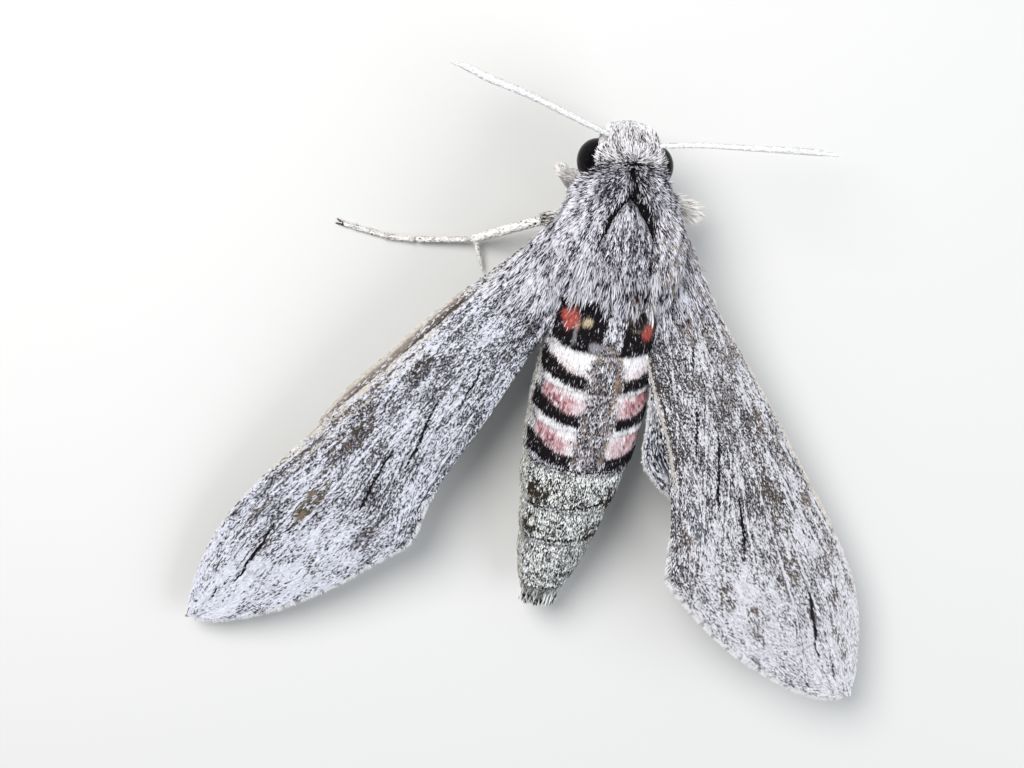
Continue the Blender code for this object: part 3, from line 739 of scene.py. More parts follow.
def coat_tree():
    tree = bpy.data.node_groups.new("coat", "GeometryNodeTree")
    for name, kind in COAT_INPUTS:
        tree.interface.new_socket(name, in_out="INPUT", socket_type=kind)
    tree.interface.new_socket("Coat", in_out="OUTPUT", socket_type="NodeSocketGeometry")
    link = tree.links.new
    given = add_node(tree, "NodeGroupInput").outputs
    result = add_node(tree, "NodeGroupOutput").inputs

    def field(name, kind="FLOAT"):
        node = add_node(tree, "GeometryNodeInputNamedAttribute", data_type=kind)
        node.inputs["Name"].default_value = name
        return node.outputs["Attribute"]

    def product(a, b):
        return sum_node(tree, "MULTIPLY", a, b)

    def chance(spread, draw):
        """A random number for each blade; draw tells it from the others."""
        node = add_node(tree, "FunctionNodeRandomValue", data_type="FLOAT")
        node.inputs[2].default_value, node.inputs[3].default_value = spread
        link(sum_node(tree, "ADD", given["Seed"], draw), node.inputs["Seed"])
        return node.outputs[1]

    scatter = add_node(tree, "GeometryNodeDistributePointsOnFaces", distribute_method="RANDOM")
    link(given["Skin"], scatter.inputs["Mesh"])
    link(product(given["Density"], field("where")), scatter.inputs["Density"])
    link(given["Seed"], scatter.inputs["Seed"])
    points = scatter.outputs["Points"]
    for name, draw in (("tone", 11), ("shade", 12)):
        keep = add_node(tree, "GeometryNodeStoreNamedAttribute", data_type="FLOAT", domain="POINT")
        keep.inputs["Name"].default_value = name
        link(points, keep.inputs["Geometry"])
        link(chance((0.0, 1.0), draw), keep.inputs["Value"])
        points = keep.outputs["Geometry"]

    facing = add_node(tree, "FunctionNodeAxesToRotation", primary_axis="Z", secondary_axis="Y")
    link(field("up", "FLOAT_VECTOR"), facing.inputs["Primary Axis"])
    link(field("lie", "FLOAT_VECTOR"), facing.inputs["Secondary Axis"])
    tilt = add_node(tree, "ShaderNodeCombineXYZ")
    raised = sum_node(tree, "ADD", given["Lift"], field("stand"))
    link(product(raised, chance(LIFT_SPREAD, 13)), tilt.inputs["X"])
    link(chance(ROLL_SPREAD, 14), tilt.inputs["Y"])
    link(product(given["Splay"], chance(SPLAY_SPREAD, 15)), tilt.inputs["Z"])
    turn = add_node(tree, "FunctionNodeEulerToRotation")
    link(tilt.outputs["Vector"], turn.inputs["Euler"])
    posed = add_node(tree, "FunctionNodeRotateRotation", rotation_space="LOCAL")
    link(facing.outputs["Rotation"], posed.inputs["Rotation"])
    link(turn.outputs["Rotation"], posed.inputs["Rotate By"])

    size = add_node(tree, "ShaderNodeCombineXYZ")
    length = product(product(given["Length"], field("hair")), chance(LENGTH_SPREAD, 16))
    link(product(given["Width"], chance(WIDTH_SPREAD, 17)), size.inputs["X"])
    link(length, size.inputs["Y"])
    link(length, size.inputs["Z"])

    blade = add_node(tree, "GeometryNodeObjectInfo")
    link(given["Blade"], blade.inputs["Object"])
    place = add_node(tree, "GeometryNodeInstanceOnPoints")
    link(points, place.inputs["Points"])
    link(blade.outputs["Geometry"], place.inputs["Instance"])
    link(posed.outputs["Rotation"], place.inputs["Rotation"])
    link(size.outputs["Vector"], place.inputs["Scale"])
    solid = add_node(tree, "GeometryNodeRealizeInstances")
    link(place.outputs["Instances"], solid.inputs["Geometry"])
    finish = add_node(tree, "GeometryNodeSetMaterial")
    link(solid.outputs["Geometry"], finish.inputs["Geometry"])
    link(given["Finish"], finish.inputs["Material"])
    link(finish.outputs["Geometry"], result["Coat"])
    return tree


COAT_TREE = coat_tree()
COAT_SOCKETS = {item.name: item.identifier for item in COAT_TREE.interface.items_tree
                if item.item_type == "SOCKET" and item.in_out == "INPUT"}
print("coat tree nodes:", len(COAT_TREE.nodes))

# %% [markdown]
# The tree's result is made a plain mesh at once and its modifier is taken off. A mark has to be
# sharp to one blade, so the marks are asked for again at every root; read off the skin's points
# they would blur. Each blade gets a small card of its own on a map, for its baked colour.

# %% Grow a coat on a skin
CARD_SIZE = 0.003  # side of one blade's card on the bake's map
MAP_MARGIN = 0.01
KEPT_LAYERS = ("paint", "mark", "dark", "tone", "shade", "along", "OFBake", "sharp_face",
               "material_index")
THIN_OUT = 1.0
coat_counts = {}


def map_cards(mesh):
    """Give the coat its map: each blade is a small card at its root's place on the skin."""
    roots = read(mesh, "unwrap", 2)
    low, high = roots.min(axis=0), roots.max(axis=0)
    roots = MAP_MARGIN + (1.0 - 2.0 * MAP_MARGIN) * (roots - low) / np.maximum(high - low, 1e-6)
    spots = roots + (read(mesh, "card", 3)[:, :2] - 0.5) * CARD_SIZE
    corners = np.zeros(len(mesh.loops), np.int32)
    mesh.loops.foreach_get("vertex_index", corners)
    layer = mesh.uv_layers.new(name="OFBake")
    layer.data.foreach_set("uv", np.clip(spots[corners], 0.0, 1.0).astype(np.float32).ravel())
    for name in [layer.name for layer in mesh.attributes]:
        old = mesh.attributes.get(name)
        if old and name not in KEPT_LAYERS and not old.is_required and not old.is_internal:
            mesh.attributes.remove(old)


def layout_points(mesh):
    """A mesh's points in the moth's own layout, in mm."""
    spots = np.zeros(len(mesh.vertices) * 3, np.float32)
    mesh.vertices.foreach_get("co", spots)
    return (spots.reshape(-1, 3) - np.array(SHIFT)) / MM


def paint_blades(mesh, blade_points, marks):
    """Ask for paint, mark and dark again at each blade's root, finer than the skin's points."""
    roots = layout_points(mesh)[::blade_points]
    places = read(mesh, "place", 3)[::blade_points]
    for field, values in zip(("paint", "mark", "dark"), marks(places.astype(float), roots)):
        store(mesh, field, np.repeat(values, blade_points, axis=0))


def stop_at_floor(mesh):
    """Lift the tips of blades that would reach under the floor."""
    spots = np.zeros(len(mesh.vertices) * 3, np.float32)
    mesh.vertices.foreach_get("co", spots)
    spots[2::3] = np.maximum(spots[2::3], 0.0)
    mesh.vertices.foreach_set("co", spots)
    mesh.update()


def grow_coat(name, skin, blade, where, density, length, width, lift, splay, seed, finish,
              slot, hair=1.0, stand=0.0, lie=None, marks=None):
    """A coat over part of a skin: density is blades per square mm, length and width mm, lift and
    splay degrees. Hair scales the length and stand adds to the lift, point by point."""
    mesh = skin.data.copy()
    coat = add_object(name, mesh)
    count = len(mesh.vertices)
    normals = np.zeros(count * 3, np.float32)
    mesh.vertices.foreach_get("normal", normals)
    store(mesh, "up", normals.reshape(-1, 3))
    store(mesh, "where", np.broadcast_to(where, count).astype(float))
    store(mesh, "hair", np.broadcast_to(hair, count).astype(float))
    store(mesh, "stand", np.radians(np.broadcast_to(stand, count).astype(float)))
    if lie is not None:
        store(mesh, "lie", lie)
    modifier = coat.modifiers.new("coat", "NODES")
    modifier.node_group = COAT_TREE
    values = {"Blade": blade, "Density": density * THIN_OUT / MM**2, "Length": length * MM,
              "Width": width * MM, "Lift": math.radians(lift), "Splay": math.radians(splay),
              "Seed": seed, "Finish": finish}
    for socket, value in values.items():
        modifier[COAT_SOCKETS[socket]] = value
    graph = bpy.context.evaluated_depsgraph_get()
    grown = bpy.data.meshes.new_from_object(coat.evaluated_get(graph))
    coat.modifiers.remove(modifier)
    coat.data = grown
    bpy.data.meshes.remove(mesh)
    if marks:
        paint_blades(grown, len(blade.data.vertices), marks)
    map_cards(grown)
    stop_at_floor(grown)
    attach(coat, "root")
    coat_counts[name] = sum(len(face.vertices) - 2 for face in blade.data.polygons) * (
        len(grown.vertices) // len(blade.data.vertices))
    print(name, "triangles:", coat_counts[name])
    return coat

# %% [markdown]
# ## Finishes
# One shader group turns a blade's random numbers and the marking fields into its colour; the
# skin under the blades uses the same group with fine noise in place of the random numbers, so
# both carry one pattern. Each finish sets its own pale and dusky colours.

# %% Helpers for shaders
def shader_group(name, inputs, outputs):
    """A new group with named sockets, and the nodes where they come in and go out."""
    group = bpy.data.node_groups.new(name, "ShaderNodeTree")
    for socket, kind, value in inputs:
        made = group.interface.new_socket(socket, in_out="INPUT", socket_type=kind)
        if value is not None:
            made.default_value = value
    for socket, kind in outputs:
        group.interface.new_socket(socket, in_out="OUTPUT", socket_type=kind)
    given = add_node(group, "NodeGroupInput").outputs
    return group, given, add_node(group, "NodeGroupOutput").inputs


def blend_colours(tree, factor, a, b, blend="MIX"):
    node = add_node(tree, "ShaderNodeMix", data_type="RGBA", blend_type=blend)
    for index, value in ((0, factor), (6, a), (7, b)):
        feed(tree, node.inputs[index], value)
    return node.outputs[2]


print("shader helpers ready")

# %% [markdown]
# A blade is dusky where its tone is below the share of dusky hairs, and painted where its shade
# is below the strength of the paint. On a scale the dusk keeps to a short fleck past the middle.
# Last, the root is darkened, because little light reaches it.

# %% Salt and pepper
PEPPER_EDGE = 7.0  # how sharply blades part into pale and dusky
PAINT_EDGE = 10.0  # how sharply they part into painted and plain
FLECK_MIDDLE = (0.35, 0.58)  # place of the fleck along a blade: its spread and its start
FLECK_EDGE = (7.0, -1.4)  # steepness of its ends, and minus its half length times that
LIGHTNESS = (0.35, 0.80)  # spread and start of how light one blade is


def salt_and_pepper():
    """Pick pale, dusky or painted for each blade, paler toward its tip."""
    group, given, result = shader_group("salt_and_pepper", (
        ("Tone", NUMBER, 0.5), ("Shade", NUMBER, 0.5), ("Dark", NUMBER, 0.5),
        ("Paint", COLOUR, None), ("Mark", NUMBER, 0.0), ("Pale", COLOUR, None),
        ("Dusk", COLOUR, None), ("Along", NUMBER, 1.0), ("Root", NUMBER, 0.5),
        ("Fleck", NUMBER, 0.0)), (("Color", COLOUR),))

    def maths(operation, a, b=0.0, c=None, clamp=False):
        return sum_node(group, operation, a, b, c, clamp)

    gap = maths("SUBTRACT", given["Dark"], given["Tone"])
    pepper = maths("MULTIPLY_ADD", gap, PEPPER_EDGE, 0.5, True)
    middle = maths("MULTIPLY_ADD", given["Shade"], *FLECK_MIDDLE)
    off = maths("ABSOLUTE", maths("SUBTRACT", given["Along"], middle))
    beyond = maths("MULTIPLY_ADD", off, *FLECK_EDGE, True)
    clear = maths("MULTIPLY", beyond, given["Fleck"])
    pepper = maths("MULTIPLY", pepper, maths("SUBTRACT", 1.0, clear))
    coat = blend_colours(group, pepper, given["Pale"], given["Dusk"])
    gap = maths("SUBTRACT", given["Mark"], given["Shade"])
    picked = maths("MULTIPLY_ADD", gap, PAINT_EDGE, 0.2, True)
    coat = blend_colours(group, picked, coat, given["Paint"])
    varied = maths("MULTIPLY_ADD", given["Shade"], *LIGHTNESS)
    coat = blend_colours(group, 1.0, coat, varied, "MULTIPLY")
    tip = maths("SUBTRACT", 1.0, given["Root"])
    tip = maths("MULTIPLY_ADD", given["Along"], tip, given["Root"])
    group.links.new(blend_colours(group, 1.0, coat, tip, "MULTIPLY"), result["Color"])
    return group


SALT_AND_PEPPER = salt_and_pepper()
print("nodes of salt and pepper:", len(SALT_AND_PEPPER.nodes))

# %% [markdown]
# A skin has no blades to count, so stretched noise on its unwrap stands in for their tones.

# %% Speckle
def speckle():
    """Fine streaks along the lie, for the skin between the blades."""
    group, given, result = shader_group(
        "speckle", (("Across", NUMBER, 200.0), ("Along", NUMBER, 60.0)),
        (("Tone", NUMBER), ("Shade", NUMBER), ("Height", NUMBER)))
    wrap = add_node(group, "ShaderNodeUVMap", uv_map="unwrap")
    stretch = add_node(group, "ShaderNodeMapping")
    scale = add_node(group, "ShaderNodeCombineXYZ")
    group.links.new(given["Across"], scale.inputs["X"])
    group.links.new(given["Along"], scale.inputs["Y"])
    group.links.new(wrap.outputs["UV"], stretch.inputs["Vector"])
    group.links.new(scale.outputs["Vector"], stretch.inputs["Scale"])
    for socket, offset in (("Tone", 0.0), ("Shade", 37.0)):
        moved = add_node(group, "ShaderNodeVectorMath", operation="ADD")
        moved.inputs[1].default_value = (offset, offset, 0.0)
        group.links.new(stretch.outputs["Vector"], moved.inputs[0])
        grain = add_node(group, "ShaderNodeTexNoise")
        grain.inputs["Scale"].default_value = 1.0
        grain.inputs["Detail"].default_value = 2.0
        group.links.new(moved.outputs["Vector"], grain.inputs["Vector"])
        spread = add_node(group, "ShaderNodeMapRange")
        spread.inputs["From Min"].default_value = 0.32
        spread.inputs["From Max"].default_value = 0.68
        group.links.new(grain.outputs["Fac"], spread.inputs["Value"])
        group.links.new(spread.outputs["Result"], result[socket])
        if socket == "Tone":
            group.links.new(spread.outputs["Result"], result["Height"])
    return group


SPECKLE = speckle()
print("nodes of speckle:", len(SPECKLE.nodes))

# %% [markdown]
# A finish for blades and one for skins are each written once and then mixed for every part of
# the moth from its own pale and dusky colours. Scales are matt and hardly shine, so the gloss
# is set low; a strong gloss would turn the black marks grey.

# %% Furry finishes
COAT_GLOSS = 0.10
SKIN_ROUGHNESS = 0.85
SKIN_BUMP = 0.00004  # metres


def attribute(tree, name, output="Fac"):
    return add_node(tree, "ShaderNodeAttribute", attribute_name=name).outputs[output]


def group_node(tree, group, **values):
    node = add_node(tree, "ShaderNodeGroup", node_tree=group)
    for name, value in values.items():
        feed(tree, node.inputs[name], value)
    return node


def new_finish(name, roughness):
    """A new material, its tree and its shader."""
    finish = bpy.data.materials.new(name)
    finish.use_nodes = True
    shader = finish.node_tree.nodes["Principled BSDF"]
    shader.inputs["Roughness"].default_value = roughness
    shader.inputs["Specular IOR Level"].default_value = COAT_GLOSS
    return finish, finish.node_tree, shader


def coat_finish(name, pale, dusk, root=0.5, roughness=0.72, fleck=0.8):
    """The finish of the blades; fleck is how far the dusk keeps to a short fleck on each."""
    finish, tree, shader = new_finish(name, roughness)
    coat = group_node(tree, SALT_AND_PEPPER, Tone=attribute(tree, "tone"),
                      Shade=attribute(tree, "shade"), Dark=attribute(tree, "dark"),
                      Paint=attribute(tree, "paint", "Color"), Mark=attribute(tree, "mark"),
                      Along=attribute(tree, "along"), Root=root, Fleck=fleck,
                      Pale=(*pale, 1.0), Dusk=(*dusk, 1.0))
    tree.links.new(coat.outputs["Color"], shader.inputs["Base Color"])
    rough = sum_node(tree, "MULTIPLY_ADD", attribute(tree, "tone"), 0.2, roughness - 0.1)
    tree.links.new(rough, shader.inputs["Roughness"])
    return finish


def add_relief(tree, shader, height, distance):
    """Raise a surface by a height field; distance is in metres."""
    relief = add_node(tree, "ShaderNodeBump")
    relief.inputs["Distance"].default_value = distance
    tree.links.new(height, relief.inputs["Height"])
    tree.links.new(relief.outputs["Normal"], shader.inputs["Normal"])
    return relief


def skin_finish(name, pale, dusk, across, along, shadow):
    """The finish of the skin under the blades, a little darker for the shadow they cast."""
    finish, tree, shader = new_finish(name, SKIN_ROUGHNESS)
    grain = group_node(tree, SPECKLE, Across=across, Along=along)
    coat = group_node(tree, SALT_AND_PEPPER, Tone=grain.outputs["Tone"],
                      Shade=grain.outputs["Shade"], Dark=attribute(tree, "dark"),
                      Paint=attribute(tree, "paint", "Color"), Mark=attribute(tree, "mark"),
                      Along=shadow, Root=0.0, Pale=(*pale, 1.0), Dusk=(*dusk, 1.0))
    tree.links.new(coat.outputs["Color"], shader.inputs["Base Color"])
    add_relief(tree, shader, grain.outputs["Height"], SKIN_BUMP)
    return finish


PALE = (0.87, 0.865, 0.95)
DUSK = (0.022, 0.019, 0.028)
trunk_coat = coat_finish("trunk_coat", PALE, DUSK, root=0.38)
head_coat = coat_finish("head_coat", (0.90, 0.88, 0.91), (0.045, 0.038, 0.047), root=0.45)
rear_coat = coat_finish("rear_coat", (0.96, 0.98, 0.97), (0.007, 0.006, 0.006), root=0.45,
                        fleck=0.36)
trunk_base = skin_finish("trunk_base", PALE, DUSK, across=260.0, along=70.0, shadow=0.42)
print("finishes:", len(bpy.data.materials))

# %% [markdown]
# ## The coat of the trunk
# The hair is longest where the thorax ends, where a fan of it falls over the first ring of the
# abdomen, and shortest on the face and the rear rings. No hair grows where an eye is.

# %% Trunk coats
def dress(skin, finish, slot, *nodes):
    """Give a skin its finish and hide the solids that it stands for; slot is not used."""
    skin.data.materials.append(finish)
    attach(skin, "root")
    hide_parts(*nodes)


TRUNK_NODES = ("head", "collar", "thorax", "tegula_left", "tegula_right", "abdomen_1",
               "abdomen_2", "abdomen_3", "abdomen_4", "abdomen_5", "abdomen_6", "abdomen_7",
               "tail_tuft")
dress(trunk_skin, trunk_base, "grey_fur", *TRUNK_NODES)


def clear_of_eyes(mesh, room):
    """0 inside either eye grown by room, 1 outside it."""
    points = layout_points(mesh)
    free = np.ones(len(points))
    for side in (1, -1):
        away = (points - np.array(EYE_CENTRE) * (side, 1, 1)) / (np.array(EYE_RADII) + room)
        free *= np.linalg.norm(away, axis=1) > 1.0
    return free


def near_furrow(y, deg):
    """1 in a furrow of the thorax, where the hair is short."""
    flat = np.radians(deg) * trunk_width(y)
    return np.max([stroke(flat, y, path, 0.15) for path in FURROWS], axis=0)


def grow_trunk_coats():
    y, deg = TRUNK_Y, TRUNK_DEG
    away = np.abs(deg)
    top = ease(125.0, 95.0, away)
    free = clear_of_eyes(trunk_skin.data, 0.10)
    share = 0.45 + 0.55 * top
    common = dict(skin=trunk_skin, marks=trunk_blade_marks)
    head = inside(y, -9.7, -5.2, 0.3) * free
    grow_coat("head_hair", blade=hair_lance, where=head * share, density=150.0, length=0.66,
              width=0.095, lift=11, splay=13, seed=1, finish=head_coat, slot="pale_fur",
              hair=0.95 - 0.35 * ease(-8.6, -9.4, y), stand=6 * ease(-7.5, -9.0, y), **common)
    low = 1.0 - 0.55 * near_furrow(y, deg)
    chest = inside(y, -5.2, 6.4, 0.25) * free * share * low
    for name, part, seed in (("collar_hair", ease(0.5, 0.1, y), 2),
                             ("thorax_hair", ease(0.1, 0.5, y), 9)):
        grow_coat(name, blade=flat_hair, where=chest * part, density=190.0, length=0.88,
                  width=0.078, lift=9, splay=9, seed=seed, finish=trunk_coat, slot="grey_fur",
                  hair=low * (0.85 + 0.30 * ease(0.0, 5.0, y) + 0.10 * ease(-2.5, -4.5, y)),
                  stand=5 * inside(y, -5.2, -3.0, 0.5), **common)
    banded = inside(y, 5.8, 21.25, 0.12) * share
    grow_coat("banded_hair", blade=flat_hair, where=banded, density=112.0, length=0.66,
              width=0.10, lift=6, splay=8, seed=3, finish=trunk_coat, slot="banded_fur",
              hair=1.0 - 0.40 * ease(20.5, 21.0, y), **common)
    rear = inside(y, 21.15, 36.9, 0.1) * share
    edges = np.min([np.abs(y - at + 0.2) for at in SEGMENT_EDGES], axis=0)
    grow_coat("rear_hair", blade=flat_hair, where=rear, density=135.0, length=0.40, width=0.11,
              lift=5, splay=9, seed=4, finish=rear_coat, slot="abdomen_fur",
              hair=1.0 - 0.45 * ease(0.45, 0.15, edges), **common)


grow_trunk_coats()

# %% [markdown]
# ## Fans, tufts and the tail brush
# Longer hair breaks the outline at a few places: the fan over the first ring, white strands at
# the rear of the shoulders, a frill along the sides of the abdomen and the brush at the tail.

# %% Long hair
def pale_marks(colour, strength, dark=0.25):
    """Marks of a plain tuft: one paint at one strength."""
    def marks(place, roots):
        count = len(place)
        return (np.broadcast_to(np.array(colour, float), (count, 3)),
                np.full(count, float(strength)), np.full(count, dark))
    return marks


STRAND_WHITE = (0.86, 0.86, 0.90)
# paths of the long white strands at the rear of the shoulders, as (y, degrees, half width)
STRANDS = tuple(back_path(rows) for rows in (
    ((1.6, 38, .30), (3.4, 42, .35), (4.9, 46, .25)), ((2.2, 27, .20), (4.6, 36, .18)),
    ((2.0, -29, .25), (4.5, -33, .30), (5.6, -36, .22)), ((3.2, 12, .35), (4.6, 16, .35)),
    ((4.2, -12, .25), (5.2, -13, .25))))


def grow_long_hair():
    y, deg = TRUNK_Y, TRUNK_DEG
    away = np.abs(deg)
    flat = np.radians(deg) * trunk_width(y)
    fan = inside(y, 2.4, 4.4, 0.6) * ease(75.0, 60.0, away)
    grow_coat("thorax_fan", trunk_skin, long_hair, fan, density=26.0, length=1.55, width=0.12,
              lift=8, splay=11, seed=5, finish=trunk_coat, slot="grey_fur",
              hair=0.85 + 0.25 * ease(20.0, 10.0, away), marks=trunk_blade_marks)
    strands = np.max([stroke(flat, y, path, 0.15) for path in STRANDS], axis=0)
    grow_coat("shoulder_strands", trunk_skin, long_hair, strands, density=34.0, length=1.7,
              width=0.12, lift=11, splay=9, seed=8, finish=trunk_coat, slot="pale_fur",
              marks=pale_marks(STRAND_WHITE, 0.75))
    brush = inside(y, 35.25, 37.2, 0.1)
    grow_coat("tail_brush", trunk_skin, long_hair, brush, density=50.0, length=1.25, width=0.11,
              lift=15, splay=14, seed=6, finish=rear_coat, slot="pale_fur",
              hair=1.0 - 0.45 * ease(35.6, 37.0, y), marks=trunk_blade_marks)
    frill = inside(away, 72.0, 112.0, 8.0) * inside(y, 8.0, 34.5, 1.0)
    grow_coat("side_frill", trunk_skin, hair_lance, frill, density=12.0, length=0.50, width=0.08,
              lift=10, splay=12, seed=7, finish=rear_coat, slot="abdomen_fur",
              marks=trunk_blade_marks)


grow_long_hair()

# %% [markdown]
# ## Wings
# Each wing lies in a plane through its hinge, with a sweep, a drop and a roll, in degrees. Its
# outline is two tables of how far the leading and the trailing edge lie across the wing at a
# place along it. The two forewings differ a little at the rear corner, as real ones do.

# %% Wing tables
WING_POSES = {
    "left": dict(side=1, hinge=(6.00, 0.55, 9.20), sweep=34.0, drop=8.0, roll=10.0,
                 length=0.985, chord=0.885, slip=-1.35),
    "right": dict(side=-1, hinge=(-6.00, 0.10, 9.20), sweep=30.0, drop=3.5, roll=15.0,
                  length=1.015, chord=1.080, slip=1.45),
}
FOREWING = dict(
    length=50.0, camber=0.9, depth=0.0,
    leading=((0.0, -0.5), (6.0, -0.6), (12.5, -1.4), (20.0, -2.4), (28.0, -3.3), (35.0, -3.9),
             (41.0, -3.7), (45.5, -2.4), (48.3, -1.1), (50.0, 0.1)),
    trailing={
        1: ((0.0, 3.5), (6.0, 6.4), (12.0, 7.7), (17.5, 8.8), (22.5, 9.5), (26.0, 10.2),
            (30.6, 11.7), (33.0, 10.9), (38.5, 9.1), (43.5, 6.7), (47.5, 3.9), (49.2, 2.2),
            (50.0, 0.9)),
        -1: ((0.0, 3.5), (6.0, 6.4), (12.0, 7.5), (17.5, 8.2), (22.5, 9.7), (25.5, 11.0),
             (28.1, 12.2), (30.7, 11.7), (38.5, 9.2), (43.5, 6.6), (47.5, 3.9), (49.2, 2.2),
             (50.0, 0.9))})
HINDWING = dict(
    length=29.0, camber=0.5, depth=1.0,
    leading=((0.0, 1.6), (6.0, 0.4), (12.0, -0.9), (19.0, -1.7), (25.0, -2.1), (28.0, -1.5),
             (29.0, -0.4)),
    trailing=((0.0, 2.8), (5.0, 4.4), (11.0, 5.5), (14.0, 7.0), (17.2, 8.6), (19.8, 8.2),
              (24.0, 6.2), (27.5, 3.2), (29.0, 0.6)))
# how far each wing runs on past its hinge into the thorax
FORE_REACH = 3.2
HIND_REACH = 1.5
# Veins as paths of (s, v) that fan out from the root; each is a low ridge on both faces
FORE_VEINS = (
    ((-3, 0.10), (20, 0.08), (34, 0.03)), ((-3, 0.20), (22, 0.20), (36, 0.13), (48, 0.22)),
    ((24, 0.20), (40, 0.24), (49, 0.40)), ((22, 0.27), (40, 0.36), (48.5, 0.60)),
    ((22.5, 0.36), (38, 0.50), (46, 0.85)), ((22.5, 0.46), (34, 0.63), (41.5, 0.97)),
    ((-3, 0.48), (20, 0.50), (30, 0.72), (36.5, 0.98)), ((13, 0.50), (26, 0.78), (31.5, 0.98)),
    ((-3, 0.72), (14, 0.84), (27, 0.93)),
)
HIND_VEINS = (
    ((-1, 0.15), (15, 0.12), (28, 0.25)), ((-1, 0.35), (12, 0.32), (27, 0.55)),
    ((10, 0.40), (24, 0.80)), ((8, 0.50), (20, 0.95)), ((-1, 0.60), (15, 0.92)),
    ((-1, 0.80), (9, 0.95)),
)
print("wing lengths:", FOREWING["length"], HINDWING["length"])

# %% [markdown]
# The skin of a wing is a thin closed membrane. s runs along the wing and v from its leading edge
# to its trailing one, so every mark and every vein can be placed in those two numbers, and the
# wing can be posed without redrawing anything.

# %% Wing sheets
MEMBRANE_HALF = 0.07  # half the membrane's thickness
VEIN_HEIGHT = 0.09
WING_ROWS = 180
WING_COLUMNS = 64  # on each face


def wing_axes(pose):
    """Unit directions of a wing: along it, back across it, and out of its upper face."""
    sweep, drop, roll = (math.radians(pose[key]) for key in ("sweep", "drop", "roll"))
    side = pose["side"]
    along = Vector((side * math.sin(sweep) * math.cos(drop),
                    math.cos(sweep) * math.cos(drop), -math.sin(drop)))
    level = Vector((-side * math.cos(sweep), math.sin(sweep), 0.0))
    up = along.cross(level) * -side
    if up.z < 0:
        up.negate()
    across = level * math.cos(roll) + up * math.sin(roll)
    out = up * math.cos(roll) - level * math.sin(roll)
    return (np.array(axis) for axis in (along, across, out))


def wing_edges(wing, s, side):
    """Places across the wing of its leading and trailing edges; side is 1 left, -1 right."""
    at = np.clip(s, 0.0, wing["length"])
    trailing = wing["trailing"]
    trailing = trailing[side] if isinstance(trailing, dict) else trailing
    return smooth_rows(wing["leading"], at)[..., 0], smooth_rows(trailing, at)[..., 0]


def wing_sheet(wing, pose, s, v, lift):
    """Places on a wing, lift mm above its middle surface."""
    along, across, out = wing_axes(pose)
    front, back = wing_edges(wing, s, pose["side"])
    slip = pose["slip"] if wing is HINDWING else 0.0
    t = (front + v * (back - front)) * pose["chord"] + slip
    reach = np.sin(math.pi * np.clip(s / wing["length"] + 0.15, 0.0, 1.0)) ** 0.5
    arch = wing["camber"] * 4.0 * v * (1.0 - v) * reach
    height = arch - wing["depth"] + lift
    hinge = np.array(pose["hinge"])
    return (hinge + along * (s * pose["length"])[..., None] + across * t[..., None]
            + out * height[..., None])


def wing_grid(wing, root_reach):
    """s and v over both faces of a wing, and 1 on the upper face, 0 on the lower one."""
    steps = 1.0 - (1.0 - np.linspace(0.0, 1.0, WING_ROWS)) ** 1.25
    s = -root_reach + (wing["length"] + root_reach) * steps * 0.999
    over = np.linspace(0.0, 1.0, WING_COLUMNS)
    v = np.concatenate([over, over[::-1]])
    face = np.concatenate([np.ones(WING_COLUMNS), np.zeros(WING_COLUMNS)])
    s, v = np.meshgrid(s, v, indexing="ij")
    return s, v, np.broadcast_to(face, s.shape)


def wing_across(wing, s, v, side):
    """Place across the wing in mm, and how far it is to the trailing edge."""
    front, back = wing_edges(wing, s, side)
    return front + v * (back - front), (1.0 - v) * (back - front)


def vein_gap(wing, s, v, veins, side):
    """How far each place is from the nearest vein."""
    t, _ = wing_across(wing, s, v, side)
    gaps = []
    for path in veins:
        at, share = (np.array(column, float) for column in zip(*path))
        across, _ = wing_across(wing, at, share, side)
        gaps.append(path_gap(s, t, [(a, b, 0.0) for a, b in zip(at, across)]))
    return np.min(gaps, axis=0)


print("left wing runs along:", next(wing_axes(WING_POSES["left"])).round(3))

# %% [markdown]
# ## Wing markings
# The forewing is grey like lichen: a fine mix of pale and dusky scales, darker clouds near the
# leading edge, three short black streaks between the veins, dusky lines beside the veins and a
# paler outer third. The dusky lines are partly the wing's own pattern and partly painted shade
# beside the raised veins, and the veins are painted paler as a painted highlight on their ridges.
# Tables hold what is drawn one by one.

# %% Forewing marks
FORE_PEPPER = {"left": 0.57, "right": 0.64}  # share of dusky scales
FAR_PALE = {"left": 0.17, "right": 0.23}  # how far it falls toward the tip
# the three black streaks and a short one at the tip, as (along, across, half width)
LOW_STREAKS = (((17.8, 3.6, .04), (19.6, 4.1, .09), (21.2, 4.8, .11), (22.7, 5.4, .10),
                (24.4, 5.8, .04)),
               ((24.3, 3.8, .04), (26.2, 4.2, .10), (27.9, 4.6, .10), (29.6, 5.2, .07),
                (30.6, 5.6, .03)))
TIP_STREAKS = (((37.2, 0.4, .05), (38.5, 0.5, .11), (39.6, 0.8, .12), (41.0, 0.9, .12),
                (42.3, 1.1, .10), (43.3, 1.5, .06), (44.4, 1.4, .05)),
               ((45.8, 0.5, .04), (47.4, 0.9, .05)))
TIP_SHIFT = {"left": 0.0, "right": 0.4}  # how far back the tip's streaks lie
INK_SPREAD = 0.03  # a drawn line catches the scales rooted this far beside it
THIN_LINES = {
    "left": (((13.2, 4.5, .03), (13.9, 4.8, .06), (14.9, 5.1, .06), (15.6, 5.2, .05),
              (17.1, 5.7, .03)), ((35.9, 1.7, .04), (37.1, 1.7, .04))),
    "right": (((9.0, 2.9, .03), (11.5, 3.8, .04)), ((14.4, 4.5, .05), (18.4, 5.9, .05))),
}
SOOT = (0.055, 0.046, 0.042)
UMBER = (0.105, 0.080, 0.060)
OLIVE = (0.150, 0.122, 0.085)
SLATE = (0.11, 0.115, 0.14)
RUST = (0.25, 0.15, 0.11)
CREAM = (0.64, 0.60, 0.54)
